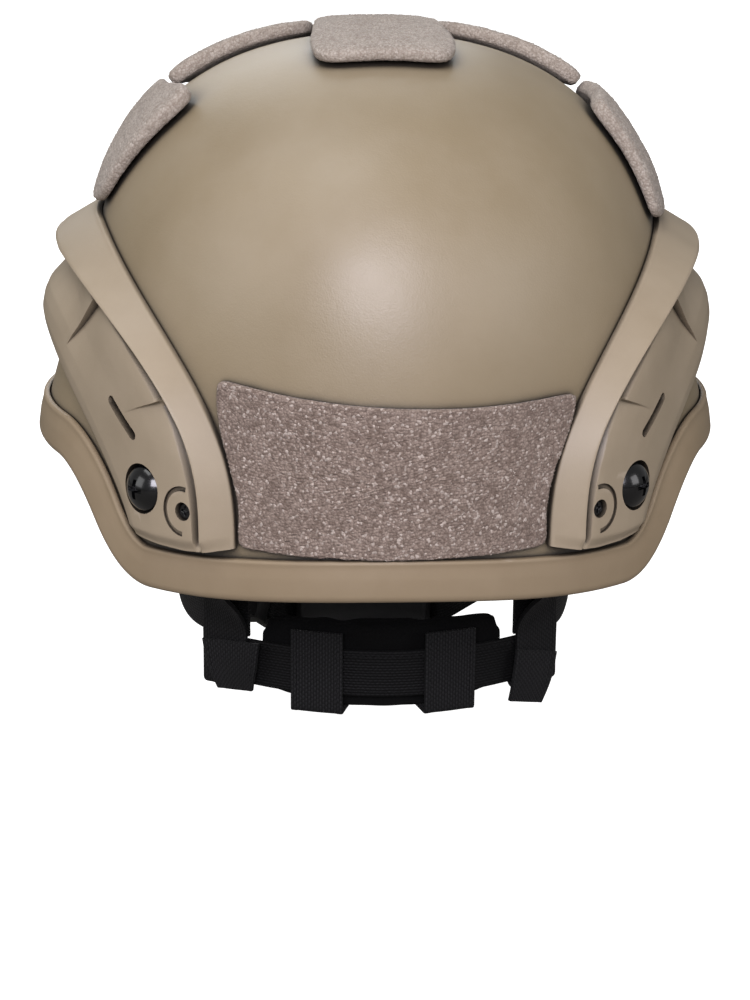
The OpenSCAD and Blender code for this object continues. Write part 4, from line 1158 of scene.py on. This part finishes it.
def stitchAlong(points, normals):
    s, lengths, angles = stitchSizes, wayAlong(points), ringAngles(6)

    def valuesAt(spots, values):
        return np.stack([np.interp(spots, lengths, values[:, i]) for i in range(3)], -1)

    parts, pitch = [], s["length"] + s["gap"]
    bulge, lift = s["width"] / 2 * column(s["bulge"]), s["width"] * column(s["lift"])
    for k in range(int(lengths[-1] / pitch)):
        spots = k * pitch + s["gap"] / 2 + s["length"] * np.array([0, 0.2, 0.5, 0.8, 1])
        middle, up = valuesAt(spots, points), unit(valuesAt(spots, normals))
        across = np.cross(unit(middle[-1] - middle[0]), up)
        rings = (middle[:, None] + up[:, None] * column(lift + bulge * sind(angles))
                 + across[:, None] * column(bulge * cosd(angles)))
        parts.append(loft(rings))
    return parts


# Stitch rows run down both edges, between two lengths along the strap
def strapPiece(name, nodes, path, mirror=False, width=webWidth, wave=0.0, rows=(), seed=0,
               taper=(1, 1), finish=blackWebbing):
    part, layers = webbing(path, width, wave, seed, taper)
    thread = []
    for start, stop in rows:
        points, normals, sides, lengths = webFrames(path, 1.0)
        chosen = (lengths >= start) & (lengths <= stop)
        wide = np.interp(lengths[chosen] / lengths[-1], np.linspace(0, 1, len(taper)), taper)[:, None]
        reach = width / 2 * wide - stitchSizes["inset"]
        face = points[chosen] + normals[chosen] * webThick / 2
        for edge in (-1, 1):
            thread += stitchAlong(face + edge * reach * sides[chosen], normals[chosen])
    parts = [(*part, 0), *((points, faces, 1) for points, faces in thread)]
    extra = sum(len(points) for points, _ in thread)
    layers = np.vstack([layers, np.zeros((extra, 3))])
    if mirror:
        parts = flipped(parts)
    newPiece(name, parts, [finish, blackThread], "webbing", nodes, 45, layers)


def bezier(corners, t):
    p = [np.asarray(c, float) for c in corners]
    return (1 - t) ** 3 * p[0] + 3 * t * (1 - t) ** 2 * p[1] + 3 * t * t * (1 - t) * p[2] + t ** 3 * p[3]


def straight(a, b, na, nb, steps=2):
    return [(mix(a, b, k / steps), mix(na, nb, k / steps)) for k in range(steps + 1)]


def bend(corners, na, nb, steps=18):
    return [(bezier(corners, k / steps), mix(na, nb, k / steps)) for k in range(1, steps)]


def turn(origin, away, normal, radius, sign=1, steps=14):
    spokes = [cosd(180 * k / steps) * normal - sind(180 * k / steps) * away for k in range(steps + 1)]
    return [(origin + radius * spoke, sign * spoke) for spoke in spokes]


# The harness: tabs under the bolts, straps, the nape and the chin
harness = {
    "tabBar": 17.5, "tabThick": 1.5, "washerTop": -5.5, "washerThick": 2.6, "napeY": 72, "napeBow": 22,
    "napeReach": 60, "bandHeight": -42, "bandWidth": 18, "bandOff": 0.95, "overOff": 2.65,
    "turnBack": -1.45, "innerX": 24, "outerX": 57, "napeThick": 9, "napeHalf": 45.5,
    "junction": (79, -35, -14), "barRadius": 1.5, "ringSide": 32, "frontWay": 120, "rearWay": 0,
    "stemWay": 240, "ringTail": 11, "chinSide": (33, -84, -68), "chinFront": (0, -96, -72),
    "socketLength": 20, "ladder": 10, "release": 17, "buckleThick": 8, "plugBar": -14.5, "loopDrop": 15.3,
    "loopRise": 16, "bandHalf": 64, "slack": 0.3,
}
tabTop = harness["washerTop"] - harness["washerThick"]
tabMiddle = tabTop - harness["tabThick"] / 2
tabTurn = harness["tabThick"] / 2 + harness["slack"] + webThick / 2


def tabStart(place, tail):
    origin, up, normal = shellFrame(place)
    bar = origin - harness["tabBar"] * up + tabMiddle * normal
    return [(bar - tail * up + tabTurn * normal, normal), *turn(bar, -up, normal, tabTurn)]


def tabExit(place, drop):
    origin, up, normal = shellFrame(place)
    return origin - (harness["tabBar"] + drop) * up + (tabMiddle - tabTurn) * normal


def napeNormal(x):
    return unit(xyz(2 * harness["napeBow"] * x / harness["napeReach"] ** 2, 1, 0))


def nape(x, off, z):
    back = harness["napeY"] - harness["napeBow"] * (x / harness["napeReach"]) ** 2
    return xyz(x, back, z) + column(off) * napeNormal(x)


junctionMiddle = vec(*harness["junction"])
junctionNormal = unit(vec(1, -0.25, -0.25))
junctionUp = unit(vec(0, 0, 1) - junctionNormal[2] * junctionNormal)
junctionAcross = np.cross(junctionUp, junctionNormal)
barTurn = harness["barRadius"] + harness["slack"] + webThick / 2


def ringWay(a):
    return cosd(a) * junctionAcross + sind(a) * junctionUp


def ringBar(a):
    return junctionMiddle + harness["ringSide"] / (2 * np.sqrt(3)) * ringWay(a)


def ringEnd(a):
    bar, way = ringBar(a), ringWay(a)
    tail = bar + harness["ringTail"] * way + (barTurn - 0.3) * junctionNormal
    return [*turn(bar, way, -junctionNormal, barTurn), (tail, junctionNormal)]


def ringExit(a, length):
    return ringBar(a) + length * ringWay(a) - barTurn * junctionNormal


def buildNapeHarness():
    h = harness
    bandZ, over, back = h["bandHeight"], h["overOff"], h["turnBack"]
    bandLow = bandZ - h["bandWidth"] / 2
    band = [(nape(x, h["bandOff"], bandZ), napeNormal(x))
            for x in np.linspace(-h["bandHalf"], h["bandHalf"], 41)]
    strapPiece("nape_band_web", ["nape_band"], band, width=h["bandWidth"], wave=0.45, rows=[(2, 126)], seed=2,
               finish=bandWebbing)
    low, behind, down = bandZ - h["loopDrop"], -h["napeThick"] - 0.7 - webThick / 2, vec(0, 0, -1)
    for name, x in (("left", h["innerX"]), ("right", -h["innerX"])):
        n = napeNormal(x)
        under = [nape(x, *spot) for spot in ((over, low + 2), (over, low - 0.4), (over - 0.4, low),
                                             (over - 2.2, low))]
        rise = [nape(x, *spot) for spot in ((behind + 2, low), (behind + 0.4, low), (behind, low + 0.4),
                                            (behind, low + 2))]
        path = [(nape(x, over, bandZ + h["loopRise"]), n), (nape(x, over, bandZ), n), (under[0], n),
                *bend(under, n, unit(n * 0.2 + down), 8), (rise[0], down),
                *bend(rise, unit(down - n * 0.2), -n, 8), (rise[3], -n), (nape(x, behind, bandZ + 12), -n)]
        strapPiece("nape_keeper_" + name, ["nape_loop_" + name], path, wave=0.1, rows=[(2, 30)], seed=3)
    start = tabExit(railSizes["boltRear"], 5)
    finish = mix(start, nape(h["outerX"], over, bandZ + 22), 0.72)
    run = unit(finish - start)
    face = square(-skinNormal(*railSizes["boltRear"]), run)
    x, n = h["outerX"], napeNormal(h["outerX"])
    path = [*tabStart(railSizes["boltRear"], 5), *straight(start, finish, face, face),
            *bend([finish, finish + 6 * run, nape(x, over, bandZ + 20), nape(x, over, bandZ + 12)], face, -n),
            (nape(x, over, bandZ + 12), -n),
            *turn(nape(x, (over + back) / 2, bandLow), vec(0, 0, 1), n, (over - back) / 2, -1),
            (nape(x, back, bandLow + 10), n)]
    for name, mirror in bothSides:
        strapPiece("nape_web_" + name, ["nape_strap_" + name], path, mirror, wave=0.15, seed=4 + mirror)
    off, steps = over + webThick + 0.35, 14
    flaps = {"left": ((54, bandZ + 8), (52.5, bandLow - 1.8), 24.5, (1.05, 0.9, 0.64)),
             "right": ((56, bandZ + 2.5), (52, bandLow - 8), 20.5, (1.02, 0.95, 0.8))}
    for name, mirror in bothSides:
        top, bottom, width, taper = flaps[name]
        path = [(nape(a, off + 0.9 * float(sind(180 * k / (steps - 1))), z), napeNormal(a))
                for k, (a, z) in enumerate(np.linspace(top, bottom, steps))]
        strapPiece("nape_fold_" + name, [], path, mirror, width, wave=0.25, rows=[(1.5, 14.5)],
                   seed=6 + mirror, taper=taper)


buildNapeHarness()


def buildSideStraps():
    h = harness
    height = h["bandHeight"] + (h["bandWidth"] + webWidth) / 2 + 0.7
    flat = [(nape(x, h["bandOff"], height), -napeNormal(x)) for x in np.linspace(49, 61, 5)]
    sweep = bend([nape(62, h["bandOff"], height), vec(72, h["napeY"] - 34, height - 6),
                  vec(82, -4, height - 4), ringExit(h["rearWay"], 5)], -napeNormal(62), -junctionNormal, 36)
    path = [*flat, *sweep, *ringEnd(h["rearWay"])]
    start = tabExit(railSizes["boltFront"], 7)
    finish = mix(start, ringExit(h["frontWay"], 8), 0.86)
    face = square(-unit(skinNormal(*railSizes["boltFront"]) + 2 * junctionNormal), unit(finish - start))
    front = [*tabStart(railSizes["boltFront"], 5), *straight(start, finish, face, face),
             (ringExit(h["frontWay"], 4), mix(face, -junctionNormal, 0.7)), *ringEnd(h["frontWay"])]
    for name, mirror in bothSides:
        strapPiece("side_web_" + name, ["side_strap_" + name], path, mirror, wave=0.3, seed=8 + mirror)
        strapPiece("front_web_" + name, ["front_strap_" + name], front, mirror, wave=0.12, seed=10 + mirror)


buildSideStraps()

stemTop = ringExit(harness["stemWay"], 6)
stemUp = unit(stemTop - vec(*harness["chinSide"]))
stemNormal = square(vec(1, -0.6, -0.2), stemUp)
buckleMouth = stemTop - (harness["release"] + 6 + harness["ladder"] + harness["socketLength"]) * stemUp


def onStem(y, z):
    return buckleMouth + y * stemUp + z * stemNormal


def buildChinStraps():
    h = harness
    stem = [*straight(onStem(7, 0), stemTop, -stemNormal, -stemNormal),
            (ringExit(h["stemWay"], 3), -unit(stemNormal + 2 * junctionNormal)), *ringEnd(h["stemWay"])]
    strapPiece("stem_web", ["stem_strap"], stem, seed=12)
    middle = webThick / 2 + 0.35 + h["buckleThick"] / 2
    rightTop, rightUp, rightNormal = mirrored(stemTop), mirrored(stemUp), mirrored(stemNormal)
    rightLow = mix(mirrored(vec(*h["chinSide"])), rightTop, 0.12)
    chin = vec(*h["chinFront"])
    bar = h["plugBar"]
    path = [(onStem(bar - 9, middle + barTurn - 0.6), stemNormal),
            *turn(onStem(bar, middle), -stemUp, stemNormal, barTurn),
            *bend([onStem(bar, middle - barTurn), onStem(bar - 12, 0.5), chin + vec(19, 0.2, 0), chin],
                  -stemNormal, vec(0, 1, 0), 24),
            (chin, vec(0, 1, 0)),
            *bend([chin, chin + vec(-19, 0.2, 0), rightLow - 12 * rightUp, rightLow],
                  vec(0, 1, 0), -rightNormal, 24),
            *straight(rightLow, rightTop, -rightNormal, -rightNormal),
            (mirrored(ringExit(h["stemWay"], 3)), -unit(rightNormal + 2 * mirrored(junctionNormal))),
            *[(mirrored(p), mirrored(n)) for p, n in ringEnd(h["stemWay"])]]
    strapPiece("chin_web", ["chin_strap"], path, seed=13)


buildChinStraps()
print("harness built")

# Cup under the strap: a moulded shell with rolled edges
cupSizes = {"reach": 44, "bend": 44, "thick": 5, "spans": 56, "taper": 0.28, "rounding": 1.6}


def buildCup():
    c, chin = cupSizes, harness["chinFront"]
    centre, radius = chin[1] + c["bend"], c["bend"] - webThick / 2 - 0.5
    section = [(0, 14), (0, 4), (0, -6), (-2.5, -13), (-9, -17), (-14, -17.5), (-14.5, -14), (-9, -12.5),
               (-c["thick"] - 1.5, -9), (-c["thick"], -3), (-c["thick"], 4), (-c["thick"], 13)]
    outline = roundCorners(section, c["rounding"], 4)
    rings = []
    for t in np.linspace(-1, 1, c["spans"] + 1):
        a, scale = -90 + c["reach"] * t, 1 - c["taper"] * abs(t) ** 3
        edge = 1 - 0.5 * float(smooth(0.965, 1, abs(t)))
        depth = -c["thick"] / 2 + (outline[:, 0] + c["thick"] / 2) * edge
        r, height = radius + depth, chin[2] + outline[:, 1] * scale * (0.9 + 0.1 * edge)
        rings.append(xyz(r * cosd(a), centre + r * sind(a), height))
    cup = [loft(np.array(rings))]
    newPiece("chin_cup_body", cup, [cupRubber], "black_plastic", ["chin_cup"], 50)


buildCup()

# Liner: hook discs on the shell and cloth-covered pads
linerSizes = {"thick": 18, "padOff": -7.0, "discOff": -5.3, "discThick": 1.4, "discRadius": 20,
              "voxel": 0.0045, "pressure": 4.0, "cap": 0.0032, "frames": 20, "shrink": 0.955,
              "pipingRadius": 0.9, "pipingLevel": 0.5, "pipingSteps": 240, "crownHalf": (56.1, 60.06),
              "frontPlace": (-90, 90), "rearPlace": (90, 72), "sideAngle": 21, "sideHeight": 100}


def swell(piece, cap, voxel):
    remesh = piece.modifiers.new("even", "REMESH")
    remesh.mode, remesh.voxel_size = "VOXEL", voxel
    even = piece.modifiers.new("settle", "SMOOTH")
    even.factor, even.iterations = 0.5, 4
    bakeModifiers(piece, 180)
    rest = vertexValues(piece.data, "co")
    cloth = piece.modifiers.new("swell", "CLOTH")
    settings = cloth.settings
    settings.use_pressure, settings.uniform_pressure_force = True, linerSizes["pressure"]
    settings.effector_weights.gravity = 0
    settings.quality, settings.tension_stiffness, settings.bending_stiffness = 6, 12, 0.4
    for number in range(1, linerSizes["frames"] + 1):
        bpy.context.scene.frame_set(number)
    bakeModifiers(piece, 180)
    travel = vertexValues(piece.data, "co") - rest
    length = np.linalg.norm(travel, axis=1, keepdims=True)
    held = rest + travel * np.minimum(1, cap / np.maximum(length, 1e-9))
    piece.data.vertices.foreach_set("co", held.ravel())
    bpy.context.scene.frame_set(1)
    piece.modifiers.new("finer", "SUBSURF").levels = 1
    piece.modifiers["finer"].render_levels = 1
    bakeModifiers(piece, 180)


# A sewn tape that lies on the pad's edge, found by rays from outside
def pipingAround(piece, place, power):
    s = linerSizes
    pad = bmesh.new()
    pad.from_mesh(piece.data)
    search = BVHTree.FromBMesh(pad)
    shape = squircle(ringAngles(s["pipingSteps"]), power)
    outer, inner = [place(reach * shape[:, 0], reach * shape[:, 1], np.full(len(shape), s["pipingLevel"]))
                    for reach in (1.15, 0.7)]
    line = []
    for a, b in zip(overSeat(outer), overSeat(inner)):
        hit = search.ray_cast(Vector(a), Vector(b - a))[0]
        line.append(np.array(hit if hit is not None else mix(a, b, 0.4)) / millimetre + vec(0, 0, seatHeight))
    pad.free()
    line = np.array(line)
    for _ in range(3):
        line = (np.roll(line, 1, 0) + 2 * line + np.roll(line, -1, 0)) / 4
    run = unit(np.roll(line, -1, 0) - np.roll(line, 1, 0))
    out = square(unit(outer - inner), run)
    spin = column(ringAngles(8))
    tape = out[:, None] * cosd(spin) + np.cross(run, out)[:, None] * sind(spin)
    return loft(line[:, None] + s["pipingRadius"] * tape, closed=True)


def buildPad(name, node, place, power, mirror=False, cap=linerSizes["cap"], voxel=linerSizes["voxel"],
             finish=padSuede):
    shrink = linerSizes["shrink"]
    profile = [(0.3, 0.16), (0.7, 0.16), (0.88, 0.19), (0.96, 0.3), (1, 0.45), (1, 0.58), (0.95, 0.75),
               (0.86, 0.84), (0.7, 0.87), (0.35, 0.88)]

    def smaller(u, v, h):
        return place(shrink * u, shrink * v, h)

    parts = [loft(patchRings(smaller, profile, power, 56))]
    if mirror:
        parts = flipped(parts)
    piece = newPiece(name, parts, [finish], "pad", [node], 180)
    swell(piece, cap, voxel)

    def sidePlaced(u, v, h):
        spots = place(u, v, h)
        return mirrored(spots) if mirror else spots

    piping = newPiece(name + "_piping", [pipingAround(piece, sidePlaced, power)], [finish], "pad")
    piping.parent = piece
    piping.matrix_parent_inverse = piece.matrix_world.inverted()


def buildLiner():
    s = linerSizes
    thick, back = s["thick"], s["padOff"]

    def sidePad(phi, z, wide, tall):
        return lambda u, v, h: side(phi + wide * u, z + tall * v, back - thick * h)

    def crownPad(u, v, h):
        return crown(s["crownHalf"][0] * u, s["crownHalf"][1] * v, back - thick * h)

    front, rear, sideAngle, sideHeight = s["frontPlace"], s["rearPlace"], s["sideAngle"], s["sideHeight"]
    buildPad("crown_cushion", "crown_pad", crownPad, 2.2)
    buildPad("front_cushion", "front_pad", sidePad(*front, 29, 33), 3.4)
    buildPad("rear_cushion", "rear_pad", sidePad(*rear, 28, 33), 3.4)
    for name, mirror in bothSides:
        for end, phi in (("front_", -sideAngle), ("rear_", sideAngle)):
            place = sidePad(phi, sideHeight, 16.5, 33)
            buildPad("side_cushion_" + end + name, "side_pad_" + end + name, place, 3.4, mirror)

    radius, off, deep = s["discRadius"], s["discOff"], s["discThick"]

    def disc(place):
        profile = [(0.3, 0), (0.6, 0), (0.97, 0), (1, 0.2), (1, 0.8), (0.97, 1), (0.6, 1), (0.3, 1)]
        return loft(patchRings(place, profile, 2, 72))

    def sideDisc(phi, z):
        reach = radius / planRadius(phi) * 180 / pi
        return disc(lambda u, v, h: side(phi + reach * u, z + radius * v, off - deep * h))

    crownDisc = disc(lambda u, v, h: crown(radius * u, radius * v, off - deep * h))
    sides = [sideDisc(-sideAngle, sideHeight), sideDisc(sideAngle, sideHeight)]
    discs = [crownDisc, sideDisc(*front), sideDisc(*rear), *sides, *flipped(sides)]
    newPiece("hook_disc_set", discs, [hookBlack], "hook", ["hook_discs"])


def buildNapePad():
    h = harness

    def place(u, v, depth):
        u, v, depth = np.broadcast_arrays(u, v, depth)
        z = h["bandHeight"] + 2 + (18.8 - np.where(v < 0, 4.2 * u * u, 0.4 * u * u)) * v
        return nape((h["napeHalf"] + 4.5) * u, -h["napeThick"] * depth, z)

    buildPad("nape_cushion", "nape_pad", place, 8, cap=0.0018, voxel=0.0028, finish=napeSuede)


buildLiner()
buildNapePad()
print("liner and nape pads swollen")

# Studio: soft lamps, a plain floor and a white surround
studio = {
    "surround": 0.22, "background": 1.0, "floorSize": 12.0, "floorColour": (238, 237, 235),
    "floorBounce": (120, 118, 114), "floorLift": 0.9,
    "lamps": [("key", (0.16, 1.6, 0.7), 0.8, 23.0, (1.0, 0.965, 1.07)),
              ("fill", (-1.4, 1.0, 0.5), 0.9, 6.0, (1, 0.99, 1.0)),
              ("side", (1.5, 0.6, 0.45), 0.9, 4.5, (1, 1, 1)), ("top", (0.55, 0.2, 1.6), 1.1, 9.0, (1, 1, 1)),
              ("front", (0.2, -1.7, 0.9), 1.2, 10.0, (1, 1, 1))],
}


def showsBackground(tree):
    path = tree.nodes.new("ShaderNodeLightPath").outputs
    return addMaths(tree, "MAXIMUM", path["Is Camera Ray"], path["Is Transmission Ray"])


def buildStudio():
    world = bpy.data.worlds.new("white_surround")
    bpy.context.scene.world = world
    world.use_nodes = True
    tree = world.node_tree
    tree.nodes.clear()
    output = tree.nodes.new("ShaderNodeOutputWorld")
    strength = rescale(tree, showsBackground(tree), 0.0, 1.0, studio["surround"], studio["background"])
    back = addNode(tree, "ShaderNodeBackground", {"Color": (1, 1, 1, 1), "Strength": strength})
    tree.links.new(back.outputs[0], output.inputs["Surface"])
    for name, place, size, watts, colour in studio["lamps"]:
        data = bpy.data.lights.new(name + "_softbox", "AREA")
        data.color = colour
        data.shape, data.size, data.energy = "SQUARE", size, watts
        lamp = addObject(name + "_softbox", data)
        lamp.location = place
        lamp.rotation_euler = (Vector((0, 0, -0.05)) - Vector(place)).to_track_quat("-Z", "Y").to_euler()
    material, tree, surface = emptyMaterial("pale_floor")
    seen = showsBackground(tree)
    colour = mixColours(tree, seen, studio["floorBounce"], studio["floorColour"])
    diffuse = addNode(tree, "ShaderNodeBsdfDiffuse", {"Color": colour})
    glow = {"Color": (1, 1, 1, 1), "Strength": times(tree, seen, studio["floorLift"])}
    lift = addNode(tree, "ShaderNodeEmission", glow)
    both = addNode(tree, "ShaderNodeAddShader", {0: diffuse.outputs[0], 1: lift.outputs[0]})
    tree.links.new(both.outputs[0], surface)
    half, low = studio["floorSize"] / 2, min(corner[2] for corner in cadBounds)
    mesh = bpy.data.meshes.new("floor")
    mesh.from_pydata([(x, y, low) for x, y in rectangle(half, -half, half)], [], [(0, 1, 2, 3)])
    mesh.materials.append(material)
    floor = addObject("floor", mesh)
    bpy.context.scene.view_settings.view_transform = "Standard"


buildStudio()
print("studio set")
